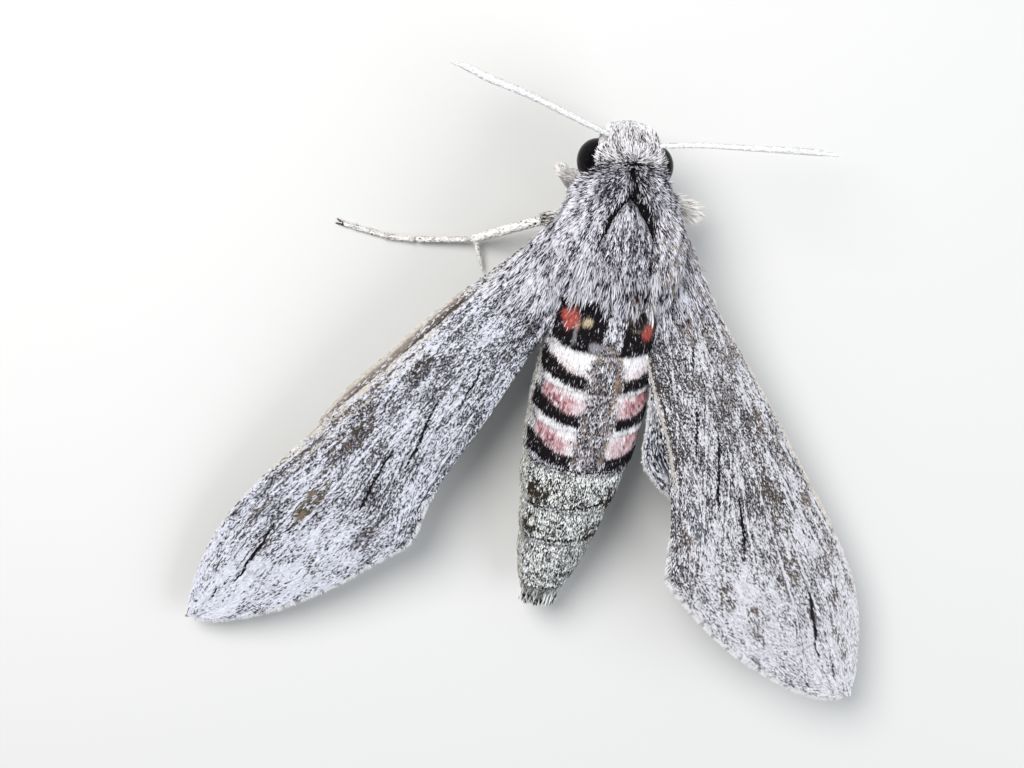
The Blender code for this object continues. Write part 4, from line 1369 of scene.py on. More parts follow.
FAWN = (0.42, 0.36, 0.32)
ASH = (0.40, 0.40, 0.44)
RIB_GREY = (0.52, 0.49, 0.45)
UNDER_BROWN = (0.30, 0.26, 0.235)  # the lower face is plain
# clouds as place along, place across, half length, half width, paint, share of painted scales
CLOUDS = {
    "left": (
        (16.6, 0.3, 2.2, 0.8, SOOT, .80), (25.3, -0.1, 3.9, 1.35, UMBER, .60),
        (24.7, 0.2, 1.7, 0.8, SOOT, .65), (25.7, -2.6, 1.5, 0.6, UMBER, .55),
        (28.7, -2.9, 1.0, 0.5, UMBER, .50), (33.2, 1.6, 2.7, 0.9, OLIVE, 1.05),
        (37.0, -1.8, 1.6, 0.55, UMBER, .55), (43.7, -1.2, 3.1, 0.65, UMBER, .45),
        (39.3, 1.0, 2.0, 0.6, UMBER, .55), (32.6, 8.1, 3.6, 0.6, UMBER, .30),
        (33.1, 10.2, 1.6, 0.8, SLATE, .30), (36.7, 5.6, 1.6, 0.6, UMBER, .30),
        (10.2, 5.6, 4.1, 0.6, SOOT, .45),
        (21.0, 1.6, 2.2, 0.6, SLATE, .30), (29.6, 0.2, 2.0, 0.8, UMBER, .25)),
    "right": (
        (19.0, -0.2, 2.1, 0.75, UMBER, .65), (19.3, -0.1, 0.9, 0.4, RUST, .35),
        (25.9, 1.1, 4.3, 1.35, UMBER, .60), (25.2, 1.0, 1.9, 0.8, SOOT, .45),
        (28.0, -2.4, 1.6, 0.6, UMBER, .50), (24.7, 8.1, 2.8, 0.8, SLATE, .60),
        (26.1, 9.5, 2.3, 0.7, UMBER, .50), (33.1, 8.2, 1.5, 0.7, UMBER, .50),
        (35.9, 6.4, 1.5, 0.7, UMBER, .50), (38.5, 6.8, 1.5, 0.6, UMBER, .45),
        (33.3, 1.6, 2.3, 0.8, OLIVE, .60), (39.7, 1.1, 2.6, 0.6, UMBER, .45),
        (39.0, -1.3, 1.5, 0.6, UMBER, .50), (44.2, -0.6, 3.1, 0.6, UMBER, .38),
        (35.5, -1.6, 1.5, 0.6, UMBER, .45), (10.0, 6.2, 3.6, 0.7, SOOT, .30)),
}
print("clouds:", {side: len(rows) for side, rows in CLOUDS.items()})

# %% [markdown]
# The tables are now laid on the wing. Three noises break every edge: a fine one streaked along
# the veins, a cloudy one and a long drawn one. Without them the marks would look printed.

# %% Forewing pattern
FACE_GAP = 9.0  # keeps the noise of the two faces apart


def fore_marks(side, s, v, face):
    """Paint, its strength and the share of dusky scales over a forewing."""
    work = Paintwork(s.shape)
    t, to_edge = wing_across(FOREWING, s, v, WING_POSES[side]["side"])
    flow = np.stack([s, t, face * FACE_GAP], axis=-1)
    streaky = mottle(flow, 0.34, (2.6, 1.0, 1.0))
    cloudy = mottle(flow, 1.7, (1.6, 1.0, 1.0))
    fine = mottle(flow, 0.55, (1.5, 1.0, 1.0))
    outer = ease(27.0, 43.0, s + 0.5 * t)
    drawn = mottle(flow, 0.40, (8.0, 1.0, 1.0))
    dark = FORE_PEPPER[side] + (0.30 - 0.10 * outer) * streaky + 0.34 * cloudy + 0.46 * drawn
    if side == "right":
        work.lay(ASH, 0.24 * ease(34.0, 42.0, s + 0.5 * t))
        dark -= 0.26 * ease(0.45, 0.15, v) * ease(15.0, 27.0, s)
        dark -= 0.34 * spot(s, t, (29.0, 6.8), (8.0, 4.2))
        dark -= 0.13 * spot(s, t, (22.5, 3.5), (7.0, 5.0))
    else:
        dark -= 0.20 * spot(s, t, (21.8, 4.2), (6.5, 4.6))
    far_out = ease(38.0, 45.0, s + (0.5 if side == "left" else 0.9) * t)
    dark -= 0.30 * outer + FAR_PALE[side] * far_out + 0.10 * ease(0.06, 0.0, v)
    for at, over, half, width, colour, strength in CLOUDS[side]:
        cloud = spot(s + 0.8 * fine, t + 0.3 * fine, (at, over), (half * 1.25, width * 1.25))
        ragged = np.clip(0.75 + 1.1 * fine + 1.2 * streaky, 0.0, 1.3)
        shades = np.array(colour) * np.clip(0.92 + 1.6 * streaky, 0.5, 1.25)[..., None]
        work.lay(shades, strength * cloud * ragged)
        dark += 0.26 * strength * cloud
    # Dusky scales beside the veins are partly the wing's pattern and partly painted shade beside
    # the vein ridges; fewer dusky scales on the veins are a painted highlight on the ridges.
    gap = vein_gap(FOREWING, s, v, FORE_VEINS, WING_POSES[side]["side"])
    beside = inside(gap, 0.12, 0.27, 0.06)
    dark += 0.50 * beside * (0.25 + 0.75 * ease(10.0, 24.0, s)) * (0.7 + 1.2 * streaky)
    dark -= 0.34 * ease(0.15, 0.07, gap)
    dark += 0.12 * ease(1.6, 0.4, to_edge + 0.5 * streaky) * ease(24.0, 30.0, s)
    drawn_lines = [(path, 0.0) for path in LOW_STREAKS + THIN_LINES[side]]
    drawn_lines += [(path, TIP_SHIFT[side]) for path in TIP_STREAKS]
    ink = [stroke(s + 0.2, t - shift, np.add(path, (0.0, 0.0, INK_SPREAD)), 0.12)
           for path, shift in drawn_lines]
    work.lay(BLACK, 1.4 * np.max(ink, axis=0))
    costa = ease(0.040, 0.012, v) * inside(s, 4.0, 33.0, 2.0) * (side == "right")
    work.lay(CREAM, 0.5 * ease(0.03, 0.0, v) + 0.5 * costa)
    if side == "right":
        rib = inside(v, 0.962, 0.984, 0.008) * inside(s, 3.0, 20.0, 1.5)
        work.lay(RIB_GREY, 1.2 * rib)
        # A soot line just before the cream rib is painted shade beside it.
        shade = inside(v, 0.915, 0.948, 0.012) * inside(s, 6.0, 20.0, 1.5)
        work.lay(SOOT, 0.8 * shade)
        warm = ease(20.0, 8.0, s) * ease(0.75, 0.35, v) + 0.5 * inside(v, 0.03, 0.14, 0.03)
        work.lay(FAWN, warm * (0.16 + 0.45 * drawn + 0.30 * cloudy))
    else:
        # Cream, umber and cream strips along a fold of the leading edge: partly the wing's own
        # colours and partly painted light and shade of the fold, the umber strip lying in its
        # crease.
        folded = inside(s, 13.0, 33.0, 3.0) * (0.8 + 0.8 * streaky)
        work.lay(CREAM, 0.75 * folded * inside(v, 0.0, 0.045, 0.01))
        work.lay(UMBER, 0.60 * folded * inside(v, 0.050, 0.075, 0.01))
        work.lay(CREAM, 0.55 * folded * inside(v, 0.085, 0.120, 0.02))
    work.lay(UNDER_BROWN, 0.55 * (1.0 - face))
    return work.paint, work.mark, np.clip(dark, *DARK_RANGE)


# places along the wing where a vein's end notches the fringe
NOTCHES = (26.2, 28.1, 29.9, 31.2, 32.9, 34.4, 36.1, 38.2, 39.8, 42.1, 43.4, 45.3)
FRINGE_WHITE = (0.80, 0.79, 0.80)


def fringe_marks(side, s, v, face):
    """A white fringe with a brown notch at each vein's end."""
    work = Paintwork(s.shape, FRINGE_WHITE, 0.75)
    nearest = np.min([np.abs(s + 0.25 - at) for at in NOTCHES], axis=0)
    notch = ease(0.34, 0.12, nearest)
    work.lay(UMBER, 0.5 * notch)
    return work.paint, work.mark, np.full(s.shape, 0.12)


print("notches in the fringe:", len(NOTCHES))

# %% [markdown]
# ## The hindwing's two strips
# The forewing hides most of the hindwing. A tan strip shows ahead of the left forewing, and behind
# the right one the folded rear edge shows as fine slate stripes. A sine across the wing, bent by
# noise, places the folds: black stripes are painted shade in their creases and white stripes
# painted highlight on their crests.

# %% Hindwing marks
STRIP_START = 9.0  # where the tan strip begins along the hindwing
STRIPES_START = (0.62, 0.70)  # share of the way across over which the stripes fade in
DARK_BANDS = (0.42, 0.56)  # the two dark bands that the forewing hides
FOLD_RATE = 190.0  # radians of the sine from the leading to the trailing edge
STRIP_TAN = (0.27, 0.225, 0.205)
FOLD_SLATE = (0.25, 0.26, 0.32)
FOLD_SHADE_BLACK = (0.012, 0.013, 0.020)
FOLD_HIGHLIGHT_WHITE = (0.62, 0.63, 0.68)


def hind_marks(side, s, v, face):
    """Paint, its strength and the share of dusky scales over a hindwing."""
    work = Paintwork(s.shape)
    t, _ = wing_across(HINDWING, s, v, WING_POSES[side]["side"])
    flow = np.stack([s, t, face * FACE_GAP], axis=-1)
    streaky = mottle(flow, 0.15, (20.0, 1.0, 1.0))
    dark = 0.45 + 0.35 * streaky
    lead = ease(0.34, 0.20, v) * face * ease(STRIP_START - 1.5, STRIP_START + 1.5, s)
    work.lay(STRIP_TAN, lead * (0.80 + 0.9 * streaky))
    work.lay(SOOT, lead * inside(v, 0.10, 0.17, 0.03) * (0.9 + streaky))
    work.lay(CREAM, 0.85 * lead * ease(0.055, 0.02, v))
    stripes = ease(*STRIPES_START, v)
    # Painted light of the folds: black where the sine is high is painted shade, white where it is
    # low is painted highlight.
    fold_light = np.sin(FOLD_RATE * v + 9.0 * streaky)
    work.lay(FOLD_SLATE, 0.8 * stripes)
    work.lay(FOLD_SHADE_BLACK, 1.1 * stripes * ease(-0.45, 0.20, fold_light))
    pale_share = ease(-0.45, -0.80, fold_light) + 0.4 * ease(0.84, 0.93, v) * ease(0.05, -0.20, streaky)
    work.lay(FOLD_HIGHLIGHT_WHITE, stripes * pale_share)
    for middle in DARK_BANDS:
        band = ease(0.06, 0.02, np.abs(v - middle))
        work.lay(BLACK, 0.8 * band * face)
    return work.paint, work.mark, np.clip(dark, *DARK_RANGE)


print("stripes across the rear edge:", round(FOLD_RATE * (1 - STRIPES_START[0]) / math.tau))

# %% [markdown]
# ## Skins of the wings
# Solidify could thicken a flat sheet, but then both faces would share one row of points at the
# rim. A loft round both faces keeps them apart, thins to nothing at the edges, and raises the
# veins on both sides.

# %% Wing skins
def make_wing(name, wing, pose, side, veins, marks, root_reach):
    """The closed membrane of one wing, with veins, soft folds and its marks."""
    s, v, face = wing_grid(wing, root_reach)
    rim = np.sqrt(np.clip(1.0 - np.abs(2.0 * v - 1.0) ** 10, 0.0, 1.0))
    ridge = ease(0.45, 0.0, vein_gap(wing, s, v, veins, pose["side"]))
    t, _ = wing_across(wing, s, v, pose["side"])
    waves = mottle(np.stack([s, t, 0.0 * s], axis=-1), 0.9, (9.0, 1.0, 1.0))
    fold = 0.14 * waves * ease(1.0, 8.0, s) * rim
    half = MEMBRANE_HALF * rim + VEIN_HEIGHT * ridge * rim
    sheet = wing_sheet(wing, pose, s, v, np.where(face > 0.5, half, -half) + fold)
    paint, mark, dark = marks(side, s, v, face)
    part = loft(sheet, paint=paint, mark=mark, dark=dark, place=np.stack([s, v, face], axis=-1))
    return build_skin(name, [part])


wing_base = skin_finish("wing_base", (0.56, 0.56, 0.61), DUSK, across=150.0, along=130.0,
                        shadow=0.6)
fore_coats = {
    "left": coat_finish("fore_coat_left", (0.675, 0.69, 0.772), (0.026, 0.023, 0.030), root=0.55,
                        roughness=0.66, fleck=0.60),
    "right": coat_finish("fore_coat_right", (0.695, 0.69, 0.73), (0.028, 0.024, 0.026),
                         root=0.55, roughness=0.66, fleck=0.60),
}
hind_coat = coat_finish("hind_coat", (0.60, 0.595, 0.62), (0.05, 0.045, 0.05), root=0.7,
                        roughness=0.62)
wing_skins = {}
for side, pose in WING_POSES.items():
    for prefix, wing, veins, marks, reach in (
            ("forewing_", FOREWING, FORE_VEINS, fore_marks, FORE_REACH),
            ("hindwing_", HINDWING, HIND_VEINS, hind_marks, HIND_REACH)):
        name = prefix + side
        skin = make_wing(name + "_skin", wing, pose, side, veins, marks, reach)
        dress(skin, wing_base, prefix.strip("_"), name)
        wing_skins[name] = skin
print("wing skins:", sorted(wing_skins))

# %% [markdown]
# ## Scales of the wings
# Wing scales are short, broad and overlap like tiles. Near the root they turn into hair, which
# carries the coat of the shoulder out over the wing. Along the outer margin a fringe of longer
# scales stands out past the membrane.

# %% Wing coats
FORE_DENSITY = {"left": 105.0, "right": 84.0}
FRINGE_SWING = 0.55  # how far the fringe leans outward along the wing
HIND_FRINGE = (0.74, 0.72, 0.72)


def margin_lie(pose, count):
    """Hair of the fringe points back and a little outward along the wing."""
    along, across, _ = wing_axes(pose)
    return np.broadcast_to(unit(across + FRINGE_SWING * along), (count, 3))


def blade_marks(marks, side):
    """A wing's marks again, at the very root of each blade."""
    return lambda place, roots: marks(side, *place.T)


def grow_forewing_coats(side, pose, seed):
    name = "forewing_" + side
    skin = wing_skins[name]
    s, v, face = read(skin.data, "place", 3).T
    on = ease(-0.5, 0.5, s)
    hairy = ease(9.0, 1.0, s)
    upper = ease(0.4, 0.6, face)
    common = dict(skin=skin, slot="forewing")
    coat = fore_coats[side]
    grow_coat(name + "_upper", blade=flat_scale, where=upper * on * (1 - 0.4 * hairy),
              density=FORE_DENSITY[side], length=0.48, width=0.125, lift=5, splay=6, seed=seed,
              hair=(1.0 + 0.4 * hairy) * (0.88 + 0.27 * ease(20.0, 38.0, s)), finish=coat,
              marks=blade_marks(fore_marks, side), **common)
    grow_coat(name + "_lower", blade=flat_scale, density=30.0, length=0.52,
              width=0.30, lift=4, splay=12, seed=seed + 1, finish=coat,
              where=(1 - upper) * on * inside(v, 0.05, 0.97, 0.02), **common)
    rooted = on * ease(9.0, 1.5, s) * (0.3 + 0.7 * upper)
    if side == "right":
        rooted = rooted * ease(0.95, 0.88, v)
    grow_coat(name + "_root", blade=flat_hair, where=rooted, density=100.0, length=0.95,
              width=0.085, lift=6, splay=9, seed=seed + 2, finish=trunk_coat, **common)
    _, to_edge = wing_across(FOREWING, s, v, pose["side"])
    shore = ease(0.34, 0.12, to_edge) * ease(24.0, 27.0, s) * upper
    grow_coat(name + "_fringe", blade=hair_lance, where=shore, density=190.0,
              length=0.50, width=0.11, lift=2, splay=10, seed=seed + 3, finish=coat,
              lie=margin_lie(pose, len(v)), marks=blade_marks(fringe_marks, side), **common)


def grow_hindwing_coats(side, pose, seed):
    name = "hindwing_" + side
    skin = wing_skins[name]
    s, v, face = read(skin.data, "place", 3).T
    upper = ease(0.4, 0.6, face)
    on = ease(-0.5, 0.5, s)
    common = dict(skin=skin, finish=hind_coat, slot="hindwing")
    grow_coat(name + "_upper", blade=flat_scale, where=upper * on, density=72.0,
              length=0.55, width=0.15, lift=4, splay=6, seed=seed,
              marks=blade_marks(hind_marks, side), **common)
    grow_coat(name + "_lower", blade=flat_scale, density=30.0, length=0.55,
              width=0.28, lift=4, splay=12, seed=seed + 1,
              where=(1 - upper) * on * inside(v, 0.07, 0.96, 0.02), **common)
    _, to_edge = wing_across(HINDWING, s, v, pose["side"])
    shore = ease(0.30, 0.10, to_edge) * ease(4.0, 7.0, s)
    grow_coat(name + "_fringe", blade=hair_lance, where=shore, density=80.0,
              length=0.40, width=0.11, lift=3, splay=12, seed=seed + 2,
              lie=margin_lie(pose, len(v)), marks=pale_marks(HIND_FRINGE, 0.8, 0.2), **common)


for seed, (side, pose) in zip((20, 30), WING_POSES.items()):
    grow_forewing_coats(side, pose, seed)
    grow_hindwing_coats(side, pose, seed + 4)

# %% [markdown]
# ## Eyes
# The compound eyes bulge from the sides of the head. Each is a smooth egg, glossy and almost
# black, with a faint net of facets and a warm brown rim near the cheek.

# %% Eyes
def egg(centre, radii, rows=40, columns=56):
    """A closed egg as a loft along Y."""
    turn = np.linspace(0.06, math.pi - 0.06, rows)[:, None]
    around = np.linspace(0.0, 2 * math.pi, columns, endpoint=False)[None, :]
    shape = np.stack([np.sin(turn) * np.cos(around), -np.cos(turn) + 0 * around,
                      np.sin(turn) * np.sin(around)], axis=-1)
    return np.array(centre) + shape * np.array(radii), shape


FACETS_PER_METRE = 15000.0
FACET_DEPTH = 0.00001  # metres


def eye_finish():
    finish, tree, shader = new_finish("eye_glaze", 0.20)
    shader.inputs["Specular IOR Level"].default_value = 0.05
    spots = add_node(tree, "ShaderNodeTexCoord").outputs["Object"]
    facets = add_node(tree, "ShaderNodeTexVoronoi", feature="SMOOTH_F1")
    facets.inputs["Scale"].default_value = FACETS_PER_METRE
    tree.links.new(spots, facets.inputs["Vector"])
    # The lighter brown specks in the eye's colour are painted glints.
    glint_noise = add_node(tree, "ShaderNodeTexNoise")
    glint_noise.inputs["Scale"].default_value = 2600.0
    glint_noise.inputs["Detail"].default_value = 3.0
    tree.links.new(spots, glint_noise.inputs["Vector"])
    glint = add_node(tree, "ShaderNodeMapRange")
    glint.inputs["From Min"].default_value = 0.55
    glint.inputs["From Max"].default_value = 0.80
    tree.links.new(glint_noise.outputs["Fac"], glint.inputs["Value"])
    base = blend_colours(tree, glint.outputs["Result"], (0.0025, 0.002, 0.003, 1.0),
                         (0.022, 0.015, 0.012, 1.0))
    rim = attribute(tree, "rim")
    base = blend_colours(tree, rim, base, (0.16, 0.055, 0.035, 1.0))
    tree.links.new(base, shader.inputs["Base Color"])
    relief = add_relief(tree, shader, facets.outputs["Distance"], FACET_DEPTH)
    relief.inputs["Strength"].default_value = 0.25
    return finish


eye_glaze = eye_finish()
for word, side in (("left", 1), ("right", -1)):
    rings, shape = egg(np.array(EYE_CENTRE) * (side, 1, 1), np.array(EYE_RADII) - 0.02)
    rim = ease(0.45, 0.85, shape[..., 1]) * 0.8
    eye = build_skin("eye_%s_globe" % word, [loft(rings, rim=rim)])
    dress(eye, eye_glaze, "eye", "eye_" + word)
print("eye radii:", EYE_RADII)

# %% [markdown]
# ## Tubes
# Feelers, palps, legs and tongue are tubes along smooth paths. Rings are set square to the path
# and their radius can swell, taper and ripple.

# %% Tube rings
def smooth_path(points, count):
    """Evenly spread rows on a smooth curve through the given ones; extra columns follow."""
    rows = np.asarray(points, float)
    steps = np.linalg.norm(np.diff(rows[:, :3], axis=0), axis=1)
    along = np.concatenate([[0.0], np.cumsum(steps)])
    table = np.column_stack([along, rows])
    return smooth_rows(table, np.linspace(0.0, along[-1], count))


def tube_rings(path, radii, sides, squash=1.0):
    """Rings round a path of points; squash flattens them up and down."""
    forward = unit(np.gradient(path, axis=0))
    reference = np.eye(3)[int(np.argmin(np.abs(forward).mean(axis=0)))]
    beside = unit(np.cross(forward, reference))
    above = np.cross(beside, forward)
    turn = np.linspace(0.0, 2 * math.pi, sides, endpoint=False)
    radii = np.broadcast_to(radii, len(path))[:, None, None]
    return (path[:, None, :] + radii * (np.cos(turn)[None, :, None] * beside[:, None, :]
            + squash * np.sin(turn)[None, :, None] * above[:, None, :]))


def round_ends(count, ends=0.06):
    """A radius factor that closes both ends of a tube like a thumb."""
    u = np.linspace(0.0, 1.0, count)
    start = np.clip(u / ends, 0.0, 1.0)
    end = np.clip((1.0 - u) / ends, 0.0, 1.0)
    return 0.15 + 0.85 * np.sqrt(1.0 - (1.0 - start) ** 2) * np.sqrt(1.0 - (1.0 - end) ** 2)


print("radius along a short tube:", round_ends(5, 0.3).round(2))

# %% [markdown]
# ## Feelers
# Each feeler is a white rod of many short rings, thickest two thirds of the way out, with a
# thin hooked tip. White scales lie along it.

# %% Antennae
ANTENNAE = {
    "left": ((1.50, -8.20, 10.40, 0.26), (3.1, -8.80, 10.90, 0.26), (6.4, -10.00, 11.40, 0.28),
             (9.7, -11.20, 11.80, 0.29), (13.6, -12.35, 12.00, 0.33),
             (15.3, -12.95, 12.05, 0.30), (16.5, -13.20, 12.25, 0.25)),
    "right": ((-1.20, -7.80, 10.40, 0.26), (-2.8, -8.10, 10.90, 0.26),
              (-5.6, -8.50, 11.30, 0.27), (-9.5, -8.75, 11.60, 0.29),
              (-14.8, -9.00, 11.70, 0.33), (-16.6, -9.05, 11.80, 0.30),
              (-17.7, -9.00, 12.00, 0.25)),
}
FEELER_RINGS = 62
FEELER_COAT = 0.035  # depth of the scales on a feeler
feeler_coat = coat_finish("feeler_coat", (0.83, 0.83, 0.83), (0.56, 0.54, 0.53), root=0.88)
feeler_base = skin_finish("feeler_base", (0.80, 0.80, 0.80), (0.54, 0.52, 0.51), across=24.0,
                          along=160.0, shadow=0.9)
for number, (word, points) in enumerate(ANTENNAE.items()):
    path = smooth_path(points, FEELER_RINGS * 4)
    u = np.linspace(0.0, 1.0, len(path))
    beads = 1.0 + 0.05 * np.cos(u * FEELER_RINGS * 2 * math.pi)
    taper = np.clip((1.0 - u) / 0.10, 0.0, 1.0) ** 0.75
    swell = 1.0 + 0.55 * ease(0.05, 0.0, u)
    radii = (path[:, 3] - FEELER_COAT) * beads * swell * (0.30 + 0.70 * taper)
    radii = radii * round_ends(len(u), 0.01)
    rings = tube_rings(path[:, :3], radii, 14, 0.85)
    grain = np.full(rings.shape[:2], 0.12)
    part = loft(rings, paint=np.zeros(rings.shape), mark=0.0 * grain, dark=grain)
    feeler = build_skin("antenna_%s_rod" % word, [part])
    dress(feeler, feeler_base, "feeler", "antenna_" + word)
    grow_coat("antenna_%s_scales" % word, feeler, flat_scale, 1.0, density=130.0, length=0.30,
              width=0.12, lift=3, splay=12, seed=60 + number, finish=feeler_coat, slot="feeler")

# %% [markdown]
# ## Palps
# Two furry palps stand in front of the mouth: short curved tubes with long hair on them.

# %% Palps
# x, y, z and radius of the left palp, from its root
PALP = ((1.30, -5.70, 5.10, 0.55), (1.30, -6.35, 4.90, 0.66), (1.15, -7.05, 5.20, 0.66),
        (1.00, -7.55, 5.85, 0.56), (0.90, -7.80, 6.55, 0.38))
PALP_DEPTH = 0.18  # depth of its coat
for number, (word, side) in enumerate((("left", 1), ("right", -1))):
    points = [(x * side, y, z, r) for x, y, z, r in PALP]
    path = smooth_path(points, 40)
    rings = tube_rings(path[:, :3], (path[:, 3] - PALP_DEPTH) * round_ends(40, 0.2), 24)
    shades = np.full(rings.shape[:2], 0.30)
    part = loft(rings, paint=np.zeros(rings.shape), mark=0.0 * shades, dark=shades)
    palp = build_skin("palp_%s_skin" % word, [part])
    dress(palp, trunk_base, "pale_fur", "palp_" + word)
    grow_coat("palp_%s_hair" % word, palp, hair_lance, 1.0, density=110.0, length=0.6,
              width=0.10, lift=14, splay=14, seed=70 + number, finish=head_coat, slot="pale_fur")

# %% [markdown]
# ## Tongue
# Between the palps the tongue is coiled like a watch spring. It is bare and horny, so it gets no
# coat but fine ridges and a brown gloss. A curve with a bevel would do too, but rings can ripple.

# %% Tongue
COIL_CENTRE = (0.10, -6.90, 4.90)
COIL_RADIUS = 1.40
COIL_TURNS = 3.4
TONGUE_RADIUS = 0.19
TONGUE_RIDGES = 110
RIDGE_DEPTH = 0.00002  # metres


def tongue_finish():
    finish, tree, shader = new_finish("tongue_horn", 0.38)
    grain = group_node(tree, SPECKLE, Across=4.0, Along=90.0)
    base = blend_colours(tree, grain.outputs["Tone"], (0.035, 0.016, 0.009, 1.0),
                         (0.13, 0.06, 0.03, 1.0))
    tree.links.new(base, shader.inputs["Base Color"])
    add_relief(tree, shader, grain.outputs["Height"], RIDGE_DEPTH)
    return finish


def coil_path(count=260):
    """The tongue's spiral, wound in the plane between the palps."""
    u = np.linspace(0.0, 1.0, count)
    turn = -math.radians(60.0) - 2 * math.pi * COIL_TURNS * u
    radius = (COIL_RADIUS - 0.24) * (1.0 - 0.86 * u ** 0.9)
    x = COIL_CENTRE[0] + 0.05 * np.sin(turn * 0.5)
    return np.stack([x, COIL_CENTRE[1] - radius * np.cos(turn),
                     COIL_CENTRE[2] - radius * np.sin(turn)], axis=-1), u


path, u = coil_path()
ripple = 1.0 + 0.06 * np.cos(u * 2 * math.pi * TONGUE_RIDGES)
rings = tube_rings(path, TONGUE_RADIUS * (1.0 - 0.55 * u) * ripple * round_ends(len(u), 0.01), 12)
tongue = build_skin("proboscis_coil", [loft(rings)])
dress(tongue, tongue_finish(), "tongue", "proboscis")
print("tongue turns:", COIL_TURNS)

# %% [markdown]
# ## Legs
# A leg is a thigh, a shin with a spur, and a foot of five short joints with two claws. Hip,
# knee and ankle are three points, and the foot is a smooth path from the ankle.

# %% Leg tables
LEGS = {
    "foreleg_left": dict(
        hip=(2.3, -3.2, 6.0), knee=(5.15, -4.50, 7.0), ankle=(3.3, -2.4, 3.0),
        foot=((2.8, -1.3, 1.3), (2.6, 0.2, 0.45), (2.3, 1.6, 0.20), (1.9, 3.2, 0.20))),
    "foreleg_right": dict(
        hip=(-2.2, -3.4, 6.0), knee=(-7.1, -1.75, 6.8), ankle=(-4.9, -2.8, 2.8),
        foot=((-4.65, -3.2, 1.2), (-4.4, -3.9, 0.45), (-4.35, -4.8, 0.20), (-4.3, -5.8, 0.20))),
    "midleg_left": dict(
        hip=(2.6, -0.4, 5.2), knee=(5.6, 0.3, 5.6), ankle=(11.1, 3.7, 1.15),
        foot=((14.6, 4.15, 0.62), (17.4, 4.45, 0.40), (19.9, 4.1, 0.22), (23.0, 3.5, 0.20)),
        spurs=((10.85, 3.50, 1.45), (9.65, 6.5, 0.60))),
    "midleg_right": dict(
        hip=(-2.6, -0.2, 5.2), knee=(-6.2, 1.2, 5.2), ankle=(-8.6, 6.0, 1.40),
        foot=((-9.7, 8.2, 0.62), (-10.9, 10.6, 0.35), (-12.2, 13.0, 0.20), (-13.8, 15.6, 0.20)),
        spurs=((-8.1, 5.1, 2.1), (-6.6, 7.0, 1.1))),
    "hindleg_left": dict(
        hip=(2.3, 4.2, 5.0), knee=(6.7, 8.2, 4.4), ankle=(11.3, 14.9, 1.35),
        foot=((12.9, 17.0, 0.62), (14.4, 19.0, 0.35), (16.0, 21.2, 0.20), (18.0, 23.8, 0.20)),
        spurs=((10.4, 13.6, 2.0), (12.8, 14.2, 1.2))),
    "hindleg_right": dict(
        hip=(-2.7, 4.2, 5.0), knee=(-7.0, 8.2, 4.4), ankle=(-11.0, 15.2, 1.35),
        foot=((-12.3, 17.4, 0.62), (-13.5, 19.5, 0.35), (-14.8, 21.8, 0.20), (-16.4, 24.6, 0.20)),
        spurs=((-10.3, 13.9, 2.0), (-12.6, 14.6, 1.2))),
}
print("legs:", len(LEGS))

# %% [markdown]
# Each joint is a closed thumb-shaped loft that overlaps the next, and all of a leg's joints are
# one piece. A foot bears on the floor, so nothing of it is let through. Hair grows only on the
# thighs, so each point remembers whether it is on one.

# %% Joints of a leg
FOOT_SHARES = (0.0, 0.42, 0.62, 0.76, 0.87, 0.98)  # where the joints meet along a foot
FOOT_STEPS = 120
THIGH_RADII = (0.52, 0.56, 0.46, 0.40)
SHIN_RADII = (0.37, 0.39, 0.36, 0.31)
SPUR_RADII = (0.17, 0.15, 0.05)
CLAW_RADII = (0.07, 0.05, 0.015)
LEG_DARK = (0.06, 0.045, 0.035)
KNEE_WHITE = (0.93, 0.91, 0.89)
KNEE_BROWN = {"midleg_left": 0.80, "foreleg_left": 0.80, "foreleg_right": 0.80}


def limb(start, end, radii, rows, sides, dark, paint=LEG_DARK, mark=0.0):
    """One joint of a leg: a straight thumb whose radius follows the given ones. Mark is how
    thickly it is painted, at one strength or at its start, middle and end."""
    u = np.linspace(0.0, 1.0, rows)
    a, b = np.array(start, float), np.array(end, float)
    path = a + (b - a) * u[:, None]
    profile = np.interp(u, np.linspace(0.0, 1.0, len(radii)), radii)
    rings = tube_rings(path, profile * round_ends(rows, 0.10), sides)
    rings[..., 2] = np.maximum(rings[..., 2], 0.0)
    shape = rings.shape[:2]
    marks = np.interp(u, (0.0, 0.5, 1.0), np.broadcast_to(mark, 3))
    marks = np.broadcast_to(marks[:, None], shape)
    on_thigh = np.full(shape, float(radii is THIGH_RADII))
    return loft(rings, paint=np.broadcast_to(np.array(paint), rings.shape), mark=marks,
                dark=np.full(shape, dark), place=np.stack([on_thigh] * 3, axis=-1))


def foot_joints(ankle, foot):
    """Five joints and two claws along the foot's path."""
    rows = smooth_path((ankle, *foot), FOOT_STEPS)
    joints = []
    for k, (start, end) in enumerate(zip(FOOT_SHARES, FOOT_SHARES[1:])):
        a, b = (rows[int(share * (FOOT_STEPS - 1))] for share in (start, end))
        radius = 0.255 - 0.010 * k
        joints.append(limb(a, b, (radius * 0.90, radius * 0.86, radius), 16, 12, 0.12,
                           mark=(0.0, 0.0, 0.20 + 0.1 * k)))
    tip, ahead = rows[-3], unit(rows[-1] - rows[-12])
    beside = np.array((-ahead[1], ahead[0], 0.0))
    for side in (1, -1):
        end = tip + ahead * 0.30 + beside * side * 0.16
        end[2] = 0.05
        joints.append(limb(tip - ahead * 0.1, end, CLAW_RADII, 8, 8, 0.9, mark=1.0))
    return joints


